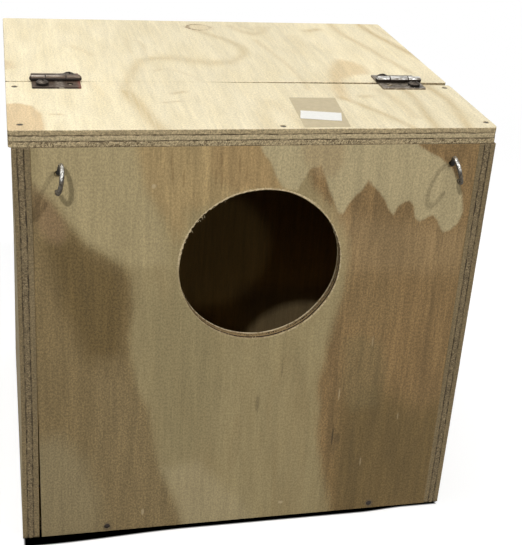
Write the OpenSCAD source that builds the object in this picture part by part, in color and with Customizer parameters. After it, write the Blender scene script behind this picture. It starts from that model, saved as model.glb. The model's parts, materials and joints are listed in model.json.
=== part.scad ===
// Plywood nest box for cage birds: a nailed box with a round entry hole, a fixed front
// roof board, a hinged lid behind it and two wire hooks that hang the box on a cage.
// Millimetres. The origin is the middle of the underside, +X to the right as the front
// is seen, +Y to the back and +Z up.

/* [Box] */
// Width over both side panels
box_w = 254; // [220:1:300]
// Depth from the front face to the back face
box_d = 216; // [180:1:260]
// Height of the walls, up to the underside of the roof
wall_h = 238; // [230:1:280]
// Thickness of the wall and floor plywood
wall_t = 9.4; // [8:0.1:12]
// Thickness of the front panel's plywood, which is thinner
front_t = 6.4; // [6:0.1:9.4]
// Gap that the saw cut leaves at each side of the front, back and floor panels
board_gap = 0.2; // [0.1:0.05:0.4]

/* [Roof] */
// Thickness of the roof plywood
roof_t = 8.8; // [8:0.1:12]
// Depth of the fixed front roof board
strip_d = 78.1; // [66:0.1:95]
// Gap between the front roof board and the lid
lid_gap = 1.4; // [1.2:0.1:2]
// Radius that handling has worn on the roof corners
roof_corner_r = 1.6; // [0.5:0.1:4]

/* [Entry hole] */
// Diameter of the entry hole
hole_d = 88; // [60:1:95]
// Height of the hole's centre above the underside
hole_z = 169.3; // [150:0.1:180]
// Offset of the hole's centre to the right
hole_x = 2.5; // [-5:0.5:5]
// Chamfer that the file leaves round the hole's outer edge
hole_chamfer = 0.6; // [0.2:0.1:1.5]

/* [Butt hinges] */
// Length of a hinge along its pin
leaf_l = 25.9; // [22:0.1:32]
// Reach of each leaf from the pin's axis to its edge
leaf_w = 12.7; // [12:0.1:16]
// Thickness of the leaf plate
leaf_t = 0.9; // [0.8:0.05:1.2]
// Corner radius of a leaf
leaf_corner_r = 0.8; // [0.3:0.1:2]
// Outer diameter of the rolled knuckles
barrel_d = 4; // [3.6:0.1:4.6]
// Length of the middle knuckle
knuckle_mid = 10.8; // [8:0.1:13]
// End play on each side of the middle knuckle
knuckle_gap = 0.2; // [0.1:0.05:0.4]
// Radial clearance of the pin in the middle knuckle
pin_clear = 0.05; // [0.02:0.01:0.08]
// Slit between the end of a roll and its own leaf
roll_slit = 0.15; // [0.1:0.05:0.25]
// Diameter of the pin's spun heads
pin_head_d = 3.4; // [2.8:0.1:3.5]
// Height of the pin's spun heads
pin_head_h = 1.1; // [0.6:0.1:1.5]
// Centre of the left hinge from the left side of the box
hinge_left_in = 26.3; // [20:0.1:50]
// Centre of the right hinge from the right side of the box
hinge_right_in = 30.6; // [20:0.1:50]

/* [Hinge screws] */
// Distance from the pin's axis to the screws
screw_back = 6.9; // [6.5:0.1:7.6]
// Distance from the hinge's middle to a screw, along the pin
screw_side = 7.4; // [6:0.1:8]
// Diameter of the screw shank
screw_d = 3; // [2.4:0.1:3.6]
// Play of a screw in its leaf hole, on the diameter
screw_play = 0.5; // [0.3:0.1:0.8]
// Diameter of the screw head
screw_head_d = 6.8; // [5.5:0.1:7.2]
// Height of the screw head
screw_head_h = 1.8; // [1.4:0.1:1.9]
// Width of the cross recess's arms
cross_w = 0.9; // [0.6:0.1:1.2]
// Span of the cross recess
cross_span = 3.6; // [3:0.1:4]
// Depth of the cross recess
cross_deep = 1.1; // [0.8:0.1:1.3]

/* [Wire hooks] */
// Diameter of the hook wire
wire_d = 2.4; // [1.8:0.1:3]
// Radius of the hook's ring, at the middle of the wire
ring_r = 7.2; // [6:0.1:10]
// Drop of the ring's centre below the shank
ring_drop = 0.85; // [0:0.05:2]
// Angle that the ring runs on below its outermost point
ring_end = 105; // [70:1:120]
// Radius of the bend from the shank into the ring
neck_r = 1.6; // [1.6:0.1:3]
// Straight shank that stands out of the panel before the bend
neck_out = 0.1; // [0:0.1:2]
// Left hook from the left side of the box
hook_left_in = 23; // [18:0.1:40]
// Left hook below the underside of the roof
hook_left_drop = 12.6; // [10:0.1:20]
// Lean of the left hook's top to the right
hook_left_lean = 9.5; // [-20:0.5:20]
// Turn of the left hook about an upright line, its ring to the right
hook_left_turn = 3; // [-12:0.5:12]
// Right hook from the right side of the box
hook_right_in = 22.7; // [18:0.1:40]
// Right hook below the underside of the roof
hook_right_drop = 10.7; // [10:0.1:20]
// Lean of the right hook's top to the right
hook_right_lean = -17.5; // [-20:0.5:20]
// Turn of the right hook about an upright line, its ring to the right
hook_right_turn = -7.5; // [-12:0.5:12]
// Wood left in front of the tips of the hooks and hinge screws
tip_cover = 1.2; // [0.8:0.1:2]

/* [Nails] */
// Diameter of the nail shank
nail_d = 1.8; // [1.4:0.1:2.2]
// Diameter of the nail head
nail_head_d = 3.2; // [2.6:0.1:3.8]
// Thickness of the nail head
nail_head_t = 0.7; // [0.5:0.1:1]
// Length of a nail under its head
nail_len = 28; // [22:1:32]
// Depth of a nail head below the face of the wood
nail_sink = 0.25; // [0.1:0.05:0.5]
// Corner nails of the roof board from its front edge
roof_nail_front = 9; // [8:0.5:14]
// Side nails of the roof board before its back edge
roof_nail_back = 8; // [6:0.5:14]
// Left front nail of the roof board from the box's side
roof_nail_left_in = 6.1; // [3:0.1:7]
// Right front nail of the roof board from the box's side
roof_nail_right_in = 3.6; // [3:0.1:7]
// Middle nail of the roof board to the right of the box's middle
roof_nail_mid_x = 10.1; // [-20:0.1:20]
// Middle nail of the roof board from its front edge
roof_nail_mid_in = 4.7; // [3:0.1:5]
// Left floor nail of the front panel from the box's side
floor_nail_left_in = 48.5; // [40:0.5:70]
// Right floor nail of the front panel from the box's side
floor_nail_right_in = 45.6; // [40:0.1:70]
// End nails of a side panel from its top and bottom edges
side_nail_end = 34; // [32:1:50]
// Floor nails of a side panel from its front and back edges
side_nail_floor_in = 52; // [45:1:70]

/* [Hidden] */
$fn = 48;

// How far a cutting shape runs past the face that it opens
over = 1;
// The faces of the box
left_x = -box_w / 2;
right_x = box_w / 2;
front_y = -box_d / 2;
back_y = box_d / 2;
roof_z = wall_h + roof_t;
// The space between the side panels and the board that fits there
inner_w = box_w - 2 * wall_t;
inner_board_w = inner_w - 2 * board_gap;
inner_d = box_d - wall_t - front_t;
// Middle planes of a wall and of the front panel behind their faces
wall_mid = wall_t / 2;
front_mid = front_t / 2;
// The barrel dips this far into the seam, so that both leaves lie flat
barrel_dip = 0.05;
pin_y = front_y + strip_d + lid_gap / 2;
pin_z = roof_z + barrel_d / 2 - barrel_dip;
pin_d = barrel_d - 2 * leaf_t;
hinge_left_x = left_x + hinge_left_in;
hinge_right_x = right_x - hinge_right_in;
knuckle_side = (leaf_l - knuckle_mid) / 2 - knuckle_gap;
// A leaf is cut back this far from the other leaf's knuckles
notch_gap = 0.35;
// Distance of the ring's centre from the panel: the neck bend and the ring are tangent
ring_out = neck_out + sqrt(pow(ring_r + neck_r, 2) - pow(neck_r + ring_drop, 2));
neck_turn = 90 - asin((neck_r + ring_drop) / (ring_r + neck_r));
shank_in = front_t - tip_cover;
screw_in = roof_t - tip_cover;
tip_len = 1.5;
// Each leaf has two holes and one screw. The screws of a hinge sit diagonally, and these
// are the sides of their front ones, -1 for the left hole and 1 for the right one
left_front_side = -1;
right_front_side = 1;

// Spherical cap of the given base diameter and height, its base on z = 0
module cap(d, h) {
    ball_r = (d * d / 4 + h * h) / (2 * h);
    intersection() {
        translate([0, 0, h - ball_r]) sphere(r = ball_r, $fn = 96);
        cylinder(d = d, h = h);
    }
}

// Pointed shank that hangs below z = 0
module shank(d, length) {
    translate([0, 0, tip_len - length]) cylinder(d = d, h = length - tip_len);
    translate([0, 0, -length]) cylinder(d1 = d / 4, d2 = d, h = tip_len);
}

// Nail with the wood's face at z = 0. The cutting form opens the hole over its head
module nail(cut = false) {
    head_top = -nail_sink;
    translate([0, 0, head_top - nail_head_t])
        cylinder(d = nail_head_d, h = cut ? nail_head_t + nail_sink + over : nail_head_t);
    translate([0, 0, head_top - nail_head_t]) shank(nail_d, nail_len);
}

module roof_nail_set(cut = false) {
    corner_y = front_y + roof_nail_front;
    rear_y = front_y + strip_d - roof_nail_back;
    for (p = [[left_x + roof_nail_left_in, corner_y],
              [right_x - roof_nail_right_in, corner_y],
              [left_x + wall_mid, rear_y], [right_x - wall_mid, rear_y],
              [roof_nail_mid_x, front_y + roof_nail_mid_in]])
        translate([p[0], p[1], roof_z]) nail(cut);
}

// Two nails through the front or the back panel into the floor's edge
module floor_nail_set(face_y, turn, cut = false) {
    for (x = [left_x + floor_nail_left_in, right_x - floor_nail_right_in])
        translate([x, face_y, wall_mid]) rotate([turn, 0, 0]) nail(cut);
}

module front_nail_set(cut = false) { floor_nail_set(front_y, 90, cut); }

module back_nail_set(cut = false) { floor_nail_set(back_y, -90, cut); }

// Nails through a side panel into the front, back and floor edges. side is -1 or 1
module side_nail_set(side, cut = false) {
    for (y = [front_y + front_mid, back_y - wall_mid],
         z = [side_nail_end, wall_h / 2, wall_h - side_nail_end])
        translate([side * right_x, y, z]) rotate([0, 90 * side, 0]) nail(cut);
    for (y = [front_y + side_nail_floor_in, back_y - side_nail_floor_in])
        translate([side * right_x, y, wall_mid]) rotate([0, 90 * side, 0]) nail(cut);
}

// Board with its lower left front corner at the given point
module board(corner, size) { translate(corner) cube(size); }

// Roof board with worn corners, made of two crossing slabs and a disc in each corner
module roof_slab(y0, depth) {
    r = roof_corner_r;
    translate([left_x, y0, wall_h]) linear_extrude(roof_t) {
        translate([r, 0]) square([box_w - 2 * r, depth]);
        translate([0, r]) square([box_w, depth - 2 * r]);
        for (x = [r, box_w - r], y = [r, depth - r]) translate([x, y]) circle(r = r);
    }
}

// Turns the ring's plane, with x out of the panel and y up, to stand out of the front
module in_hook_plane(place) {
    translate([place[0], front_y, place[1]]) rotate([0, 0, place[3]])
        rotate([0, place[2], 0]) rotate([90, 0, -90]) children();
}

// Path of the hook wire in its own plane: each entry is [x, y, heading, radius]
function wire_arc(centre, r, from, to, steps, turn) = [for (i = [0:steps])
    let (a = from + (to - from) * i / steps)
    [centre[0] + r * cos(a), centre[1] + r * sin(a), a + turn, wire_d / 2]];
shank_path = [[-shank_in, 0, 0, wire_d / 8], [tip_len - shank_in, 0, 0, wire_d / 2],
    [-wire_d / 2, 0, 0, wire_d / 2]];
neck_path = wire_arc([neck_out, neck_r], neck_r, -90, neck_turn - 90, 6, 90);
ring_path = wire_arc([ring_out, -ring_drop], ring_r, 90 + neck_turn, -ring_end, 40, -90);
ring_tip = ring_path[len(ring_path) - 1];
// The cut end of the wire is slightly rounded
cut_path = [[ring_tip[0] + wire_d / 8 * cos(ring_tip[2]),
    ring_tip[1] + wire_d / 8 * sin(ring_tip[2]), ring_tip[2], wire_d * 0.38]];
hook_path = concat(shank_path, neck_path, [for (i = [1:len(ring_path) - 1]) ring_path[i]],
    cut_path);
wire_sides = 16;

// Round wire swept along a flat path
module wire_sweep(path) {
    rings = len(path);
    polyhedron(
        points = [for (p = path, k = [0:wire_sides - 1]) let (a = 360 * k / wire_sides)
            [p[0] - p[3] * cos(a) * sin(p[2]), p[1] + p[3] * cos(a) * cos(p[2]),
             p[3] * sin(a)]],
        faces = concat(
            [[for (k = [0:wire_sides - 1]) k]],
            [for (i = [0:rings - 2], k = [0:wire_sides - 1], half = [0, 1])
                let (j = (k + 1) % wire_sides, a = i * wire_sides, b = a + wire_sides)
                half == 0 ? [a + k, b + k, b + j] : [a + k, b + j, a + j]],
            [[for (k = [wire_sides - 1:-1:0]) (rings - 1) * wire_sides + k]]));
}

// Screw hook: a pointed shank, a tight neck bend and a ring that stays open below
module hook(place) {
    in_hook_plane(place) wire_sweep(hook_path);
}

module hook_hole(place) {
    in_hook_plane(place) rotate([0, 90, 0]) {
        shank(wire_d, shank_in);
        cylinder(d = wire_d, h = over);
    }
}

// Places of the hooks: x, z, lean and turn
hook_left = [left_x + hook_left_in, wall_h - hook_left_drop, hook_left_lean, hook_left_turn];
hook_right = [right_x - hook_right_in, wall_h - hook_right_drop, hook_right_lean,
    hook_right_turn];

// Places of the screws on one hinge: side is -1 or 1 along the pin, back -1 or 1 off it
module at_screw(hinge_x, side, back) {
    translate([hinge_x + side * screw_side, pin_y + back * screw_back, roof_z])
        children();
}

// Pan-head wood screw whose head seats on the leaf
module screw() {
    difference() {
        translate([0, 0, leaf_t]) {
            cylinder(d = screw_head_d, h = screw_head_h * 0.45);
            translate([0, 0, screw_head_h * 0.45]) cap(screw_head_d, screw_head_h * 0.55);
        }
        for (turn = [20, 110]) rotate([0, 0, turn])
            translate([-cross_span / 2, -cross_w / 2, leaf_t + screw_head_h - cross_deep])
                cube([cross_span, cross_w, cross_deep + over]);
    }
    cylinder(d = screw_d, h = leaf_t);
    shank(screw_d, screw_in);
}

module screw_hole() {
    shank(screw_d, screw_in);
    cylinder(d = screw_d, h = over);
}

// Plate outline of a leaf, from the pin's axis to its edge, with two rounded corners
module leaf_outline() {
    r = leaf_corner_r;
    translate([-leaf_l / 2, 0]) square([leaf_l, leaf_w - r]);
    translate([r - leaf_l / 2, 0]) square([leaf_l - 2 * r, leaf_w]);
    for (side = [-1, 1]) translate([side * (leaf_l / 2 - r), leaf_w - r]) circle(r = r);
}

// Rolled knuckle from x0 over the given length, round a bore for the pin
module knuckle(x0, length) {
    translate([x0, 0, 0]) rotate([0, 90, 0]) cylinder(d = barrel_d, h = length);
}

// Space along the pin that belongs to the other leaf
module notch(x0, length) {
    reach = barrel_d / 2 + notch_gap;
    translate([x0, -reach, -barrel_d]) cube([length, 2 * reach, 2 * barrel_d]);
}

// Leaf of a butt hinge with the pin's axis on x and the plate towards +y. The leaf with
// the side knuckles holds the pin fast, and the one with the middle knuckle turns on it
module leaf(side_knuckles) {
    plate_z = barrel_dip - barrel_d / 2;
    half_mid = knuckle_mid / 2;
    bore_d = side_knuckles ? pin_d : pin_d + 2 * pin_clear;
    difference() {
        union() {
            difference() {
                translate([0, 0, plate_z]) linear_extrude(leaf_t) leaf_outline();
                if (side_knuckles) notch(-half_mid - knuckle_gap, knuckle_mid + 2 * knuckle_gap);
                else for (x0 = [-leaf_l / 2 - over, half_mid])
                    notch(x0, (leaf_l - knuckle_mid) / 2 + over);
            }
            if (side_knuckles) for (x0 = [-leaf_l / 2, leaf_l / 2 - knuckle_side])
                knuckle(x0, knuckle_side);
            else knuckle(-half_mid, knuckle_mid);
        }
        translate([-leaf_l / 2 - over, 0, 0]) rotate([0, 90, 0])
            cylinder(d = bore_d, h = leaf_l + 2 * over);
        translate([-leaf_l / 2 - over, bore_d / 4, plate_z + leaf_t])
            cube([leaf_l + 2 * over, barrel_d, roll_slit]);
        for (side = [-1, 1]) translate([side * screw_side, screw_back, -barrel_d])
            cylinder(d = screw_d + screw_play, h = barrel_d);
    }
}

module front_leaf(hinge_x) {
    translate([hinge_x, pin_y, pin_z]) mirror([0, 1, 0]) leaf(true);
}

module back_leaf(hinge_x) {
    translate([hinge_x, pin_y, pin_z]) leaf(false);
}

// Hinge pin with a spun, domed head at each end
module pin(hinge_x) {
    translate([hinge_x, pin_y, pin_z]) {
        translate([-leaf_l / 2, 0, 0]) rotate([0, 90, 0]) cylinder(d = pin_d, h = leaf_l);
        for (side = [-1, 1]) translate([side * leaf_l / 2, 0, 0])
            rotate([0, 90 * side, 0]) cap(pin_head_d, pin_head_h);
    }
}

module front_panel() {
    color("#a8946a") difference() {
        board([-inner_board_w / 2, front_y, 0], [inner_board_w, front_t, wall_h]);
        translate([hole_x, front_y - over, hole_z]) rotate([-90, 0, 0])
            cylinder(d = hole_d, h = front_t + 2 * over, $fn = 128);
        translate([hole_x, front_y, hole_z]) rotate([-90, 0, 0])
            cylinder(d1 = hole_d + 2 * hole_chamfer, d2 = hole_d, h = hole_chamfer, $fn = 128);
        front_nail_set(true);
        roof_nail_set(true);
        side_nail_set(-1, true);
        side_nail_set(1, true);
        hook_hole(hook_left);
        hook_hole(hook_right);
    }
}

module back_panel() {
    color("#a8946a") difference() {
        board([-inner_board_w / 2, back_y - wall_t, 0], [inner_board_w, wall_t, wall_h]);
        back_nail_set(true);
        side_nail_set(-1, true);
        side_nail_set(1, true);
    }
}

module left_panel() {
    color("#b39a70") difference() {
        board([left_x, front_y, 0], [wall_t, box_d, wall_h]);
        roof_nail_set(true);
        side_nail_set(-1, true);
    }
}

module right_panel() {
    color("#b39a70") difference() {
        board([right_x - wall_t, front_y, 0], [wall_t, box_d, wall_h]);
        roof_nail_set(true);
        side_nail_set(1, true);
    }
}

module floor_panel() {
    color("#a08a60") difference() {
        board([-inner_board_w / 2, front_y + front_t, 0], [inner_board_w, inner_d, wall_t]);
        front_nail_set(true);
        back_nail_set(true);
        side_nail_set(-1, true);
        side_nail_set(1, true);
    }
}

module roof_board() {
    color("#e8d3a6") difference() {
        roof_slab(front_y, strip_d);
        roof_nail_set(true);
        at_screw(hinge_left_x, left_front_side, -1) screw_hole();
        at_screw(hinge_right_x, right_front_side, -1) screw_hole();
    }
}

module lid_board() {
    lid_y = front_y + strip_d + lid_gap;
    color("#ead6ab") difference() {
        roof_slab(lid_y, back_y - lid_y);
        at_screw(hinge_left_x, -left_front_side, 1) screw_hole();
        at_screw(hinge_right_x, -right_front_side, 1) screw_hole();
    }
}

module left_hinge_front_leaf() { color("#6f665c") front_leaf(hinge_left_x); }
module left_hinge_back_leaf() { color("#6f665c") back_leaf(hinge_left_x); }
module left_hinge_pin() { color("#5c544c") pin(hinge_left_x); }
module right_hinge_front_leaf() { color("#9a9a98") front_leaf(hinge_right_x); }
module right_hinge_back_leaf() { color("#9a9a98") back_leaf(hinge_right_x); }
module right_hinge_pin() { color("#84847f") pin(hinge_right_x); }

module left_hinge_front_screw() {
    color("#8d867c") at_screw(hinge_left_x, left_front_side, -1) screw();
}

module left_hinge_back_screw() {
    color("#8d867c") at_screw(hinge_left_x, -left_front_side, 1) screw();
}

module right_hinge_front_screw() {
    color("#b8b8b6") at_screw(hinge_right_x, right_front_side, -1) screw();
}

module right_hinge_back_screw() {
    color("#b8b8b6") at_screw(hinge_right_x, -right_front_side, 1) screw();
}

module left_hook() { color("#c9ccd0") hook(hook_left); }
module right_hook() { color("#c9ccd0") hook(hook_right); }

module roof_nails() { color("#4a4038") roof_nail_set(); }
module front_nails() { color("#4a4038") front_nail_set(); }
module back_nails() { color("#4a4038") back_nail_set(); }
module left_nails() { color("#4a4038") side_nail_set(-1); }
module right_nails() { color("#4a4038") side_nail_set(1); }

front_panel();
back_panel();
left_panel();
right_panel();
floor_panel();
roof_board();
lid_board();
left_hinge_front_leaf();
left_hinge_back_leaf();
left_hinge_pin();
right_hinge_front_leaf();
right_hinge_back_leaf();
right_hinge_pin();
left_hinge_front_screw();
left_hinge_back_screw();
right_hinge_front_screw();
right_hinge_back_screw();
left_hook();
right_hook();
roof_nails();
front_nails();
back_nails();
left_nails();
right_nails();
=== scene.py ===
# %% [markdown]
# # A nest box of thin plywood
#
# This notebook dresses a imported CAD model: a nailed plywood nest box with a round entry hole, a fixed
# strip of roof, a hinged lid and two wire hooks. The CAD gives every size. Here each board becomes a
# real sheet of three veneers, the steel gets its wear, and the wood its grain, stains and saw marks.

import json
import math

import bmesh
import bpy
import numpy as np
from mathutils import Matrix, Vector, noise
from mathutils.geometry import delaunay_2d_cdt

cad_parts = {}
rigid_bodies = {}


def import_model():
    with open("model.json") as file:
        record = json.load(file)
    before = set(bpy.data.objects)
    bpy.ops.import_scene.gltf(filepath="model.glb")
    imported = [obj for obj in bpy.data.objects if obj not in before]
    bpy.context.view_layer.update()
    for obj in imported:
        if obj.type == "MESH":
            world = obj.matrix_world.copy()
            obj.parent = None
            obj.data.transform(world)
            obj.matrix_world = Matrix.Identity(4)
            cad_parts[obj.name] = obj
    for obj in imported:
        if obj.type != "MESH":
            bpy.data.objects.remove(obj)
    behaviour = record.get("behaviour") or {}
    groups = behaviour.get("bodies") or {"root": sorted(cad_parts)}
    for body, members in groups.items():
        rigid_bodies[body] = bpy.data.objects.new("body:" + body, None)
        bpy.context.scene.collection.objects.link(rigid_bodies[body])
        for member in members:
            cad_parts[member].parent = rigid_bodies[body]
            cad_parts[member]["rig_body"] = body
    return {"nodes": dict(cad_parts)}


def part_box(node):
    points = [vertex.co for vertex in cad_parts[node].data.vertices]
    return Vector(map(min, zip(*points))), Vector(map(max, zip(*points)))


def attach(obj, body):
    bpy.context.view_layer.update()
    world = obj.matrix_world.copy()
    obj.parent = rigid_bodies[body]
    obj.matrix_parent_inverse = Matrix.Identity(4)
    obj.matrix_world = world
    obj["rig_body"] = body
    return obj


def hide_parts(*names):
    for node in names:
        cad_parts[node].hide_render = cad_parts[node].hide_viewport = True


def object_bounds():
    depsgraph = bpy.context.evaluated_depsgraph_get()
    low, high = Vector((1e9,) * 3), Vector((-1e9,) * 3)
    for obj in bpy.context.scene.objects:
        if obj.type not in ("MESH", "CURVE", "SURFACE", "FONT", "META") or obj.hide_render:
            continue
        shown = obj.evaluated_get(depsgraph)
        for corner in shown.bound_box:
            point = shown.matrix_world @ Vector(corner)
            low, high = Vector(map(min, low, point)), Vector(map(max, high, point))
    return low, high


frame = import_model()
cad_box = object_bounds()
MM = 0.001
print("CAD box in mm:", [[round(c / MM, 1) for c in corner] for corner in cad_box])

# %% [markdown]
# ## Where the camera stands
#
# The place and the lens were solved from the corners of the box. The camera stands in front of the
# box, to the left and above, and a small shift gives the off-centre frame that the solution asks
# for. Written as a direction and an up vector, the turn is easy to read and has no angles.

# %% Camera
CAMERA_PLACE = Vector((-0.12750, -0.63696, 0.43421))
CAMERA_LOOK = Vector((0.23839, 0.86626, -0.43904))
CAMERA_UP = Vector((0.03574, 0.44394, 0.89534))
CAMERA_LENS = 74.64
CAMERA_SHIFT = (-0.0508, -0.0031)


def aim(thing, place, look, up=Vector((0, 0, 1))):
    """Puts a camera or lamp at a place, turned to look along a direction."""
    ahead = look.normalized()
    side = ahead.cross(up).normalized()
    turn = Matrix((side, side.cross(ahead), -ahead)).transposed().to_4x4()
    thing.matrix_world = Matrix.Translation(place) @ turn


def put_in_scene(name, data):
    """Links new data to the scene as an object."""
    thing = bpy.data.objects.new(name, data)
    bpy.context.scene.collection.objects.link(thing)
    return thing


camera = put_in_scene("camera", bpy.data.cameras.new("camera"))
camera.data.lens = CAMERA_LENS
camera.data.shift_x, camera.data.shift_y = CAMERA_SHIFT
camera.data.clip_start = 0.01
aim(camera, CAMERA_PLACE, CAMERA_LOOK, CAMERA_UP)
bpy.context.scene.camera = camera
bpy.context.scene.view_settings.view_transform = "Standard"
print("camera", round((CAMERA_PLACE.length), 3), "m from the middle of the base")

# %% [markdown]
# ## A small workbench for shader nodes
#
# Every finish below is a graph of nodes. Short helpers keep that readable: they add a node, do a sum,
# turn a range of values into a mask, make noise stretched along the grain and lay one colour over
# another. They take plain numbers or sockets alike.


# %% Node helpers
def plug(tree, value, target):
    """Feeds an input from a socket, or writes a plain value into it."""
    if isinstance(value, bpy.types.NodeSocket):
        tree.links.new(value, target)
    else:
        target.default_value = value


def add_node(tree, kind, inputs, **settings):
    """Adds a shader node, sets it up and feeds its inputs."""
    node = tree.nodes.new("ShaderNode" + kind)
    for name, value in settings.items():
        setattr(node, name, value)
    for key, value in inputs.items():
        plug(tree, value, node.inputs[key])
    return node


def calc(tree, operation, *values, clamp=False):
    """One sum on numbers or sockets."""
    inputs = dict(enumerate(values))
    return add_node(tree, "Math", inputs, operation=operation, use_clamp=clamp).outputs[0]


def plus(tree, first, second):
    return calc(tree, "ADD", first, second)


def less(tree, first, second):
    return calc(tree, "SUBTRACT", first, second)


def times(tree, first, *others):
    """The product of two or more numbers or sockets."""
    for other in others:
        first = calc(tree, "MULTIPLY", first, other)
    return first


def off_from(tree, value, middle):
    """How far a value is from a middle, whichever side it is on."""
    return calc(tree, "ABSOLUTE", less(tree, value, middle))


def swing(tree, value, width):
    """Turns noise of 0 to 1 into a shift to both sides of 0, of a given width."""
    return times(tree, less(tree, value, 0.5), width)


def split(tree, vector):
    """The three parts of a place or direction."""
    return add_node(tree, "SeparateXYZ", {0: vector}).outputs


def combined(tree, x, y, z=0.0):
    """A place or direction from its three parts."""
    return add_node(tree, "CombineXYZ", {0: x, 1: y, 2: z}).outputs[0]


def vector_calc(tree, operation, *values):
    """One sum on places or directions."""
    return add_node(tree, "VectorMath", dict(enumerate(values)), operation=operation).outputs[0]


def scaled(tree, vector, amount):
    """A colour or a place times one number."""
    return add_node(tree, "VectorMath", {0: vector, "Scale": amount}, operation="SCALE").outputs[0]


def length(tree, vector):
    return add_node(tree, "VectorMath", {0: vector}, operation="LENGTH").outputs["Value"]


def mask_between(tree, value, start, end, low=0.0, high=1.0):
    """Rises smoothly from low to high as the value goes from start to end."""
    inputs = {"Value": value, "From Min": start, "From Max": end, "To Min": low, "To Max": high}
    node = add_node(tree, "MapRange", inputs, interpolation_type="SMOOTHSTEP")
    return node.outputs["Result"]


def stretched_noise(tree, place, stretch, detail=3.0, roughness=0.55, distortion=0.0):
    """Noise from 0 to 1 at a place in millimetres, with its own number of waves per mm each way."""
    waves = vector_calc(tree, "MULTIPLY", place, stretch)
    inputs = {"Vector": waves, "Scale": 1.0, "Detail": detail}
    inputs.update({"Roughness": roughness, "Distortion": distortion})
    return add_node(tree, "TexNoise", inputs).outputs["Fac"]


def mix_tone(tree, factor, first, second, blend="MIX"):
    """Mixes two colours, given as sockets or as (red, green, blue)."""
    node = add_node(tree, "Mix", {"Factor": factor}, data_type="RGBA", blend_type=blend)
    for colour, target in ((first, node.inputs[6]), (second, node.inputs[7])):
        plug(tree, colour if isinstance(colour, bpy.types.NodeSocket) else (*colour, 1), target)
    return node.outputs[2]


def lay_over(tree, colour, tone, *amounts):
    """Lays a tone over a colour, as far as the product of the amounts says."""
    return mix_tone(tree, times(tree, *amounts), colour, tone)


def mix_value(tree, factor, first, second):
    """Mixes two numbers."""
    return add_node(tree, "Mix", {"Factor": factor, "A": first, "B": second}).outputs["Result"]


def start_group(name, inputs, outputs):
    """A new node group with named sockets: returns its tree, its inputs and its output node."""
    tree = bpy.data.node_groups.new(name, "ShaderNodeTree")
    for label, (kind, value) in inputs.items():
        made = tree.interface.new_socket(label, in_out="INPUT", socket_type="NodeSocket" + kind)
        made.default_value = value
    for label, kind in outputs.items():
        tree.interface.new_socket(label, in_out="OUTPUT", socket_type="NodeSocket" + kind)
    source = tree.nodes.new("NodeGroupInput").outputs
    return tree, source, tree.nodes.new("NodeGroupOutput").inputs


def use_group(tree, group, inputs):
    """Places a node group in a tree and feeds its named inputs."""
    node = tree.nodes.new("ShaderNodeGroup")
    node.node_tree = group
    for key, value in inputs.items():
        plug(tree, value, node.inputs[key])
    return node.outputs


def new_material(name):
    """A new material: returns it, its node tree and its shader."""
    material = bpy.data.materials.new(name)
    material.use_nodes = True
    return material, material.node_tree, material.node_tree.nodes["Principled BSDF"]


def add_bump(tree, shader, height, strength, distance):
    """Turns a height into small bumps of the shader's surface."""
    bump = add_node(tree, "Bump", {"Height": height, "Strength": strength, "Distance": distance})
    plug(tree, bump.outputs[0], shader.inputs["Normal"])


PLACE = ("Vector", (0.0, 0.0, 0.0))
print("workbench ready")

# %% [markdown]
# ## Studio floor, background and lamps
#
# The box stands on a pale floor in front of nothing. The camera, and what metal reflects, sees the
# floor and the world as white. All other light sees a grey floor and a dimmer sky, so the white
# background doesn't light the object. The floor still darkens where the box keeps light off it, and
# under and just in front of the box it is painted black, a painted contact shadow.


# %% Floor and background
FLOOR_REACH = 3.0
FLOOR_GAP = 0.0012
FLOOR_FADE = (0.30, 0.85)
SHADOW_STRIP_HALF_WIDTH = cad_box[1][0] - 0.0016
SHADOW_STRIP_HALF_DEPTH = 0.108
SHADOW_STRIP_EDGE = (-0.0004, 0.0014)
# Two places where the painted shadow strip before the box widens: from x, to x, and by how much.
LEFT_WIDENING = (-0.030, -0.114, 0.0, 0.0036)
MIDDLE_WIDENING = (0.105, 0.075, 0.0, 0.0018)
FLOOR_SEEN_GLOW = 0.50
FLOOR_SEEN_COLOUR = (0.72, 0.72, 0.72)
FLOOR_BOUNCE_COLOUR = (0.22, 0.215, 0.20, 1)
SKY_LEVEL = 0.10


def seen_directly(tree):
    """1 for the camera and for what shines or is looked through, 0 for scattered light."""
    rays = add_node(tree, "LightPath", {}).outputs
    shiny = calc(tree, "MAXIMUM", rays["Is Glossy Ray"], rays["Is Transmission Ray"])
    return calc(tree, "MAXIMUM", rays["Is Camera Ray"], shiny)


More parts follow.
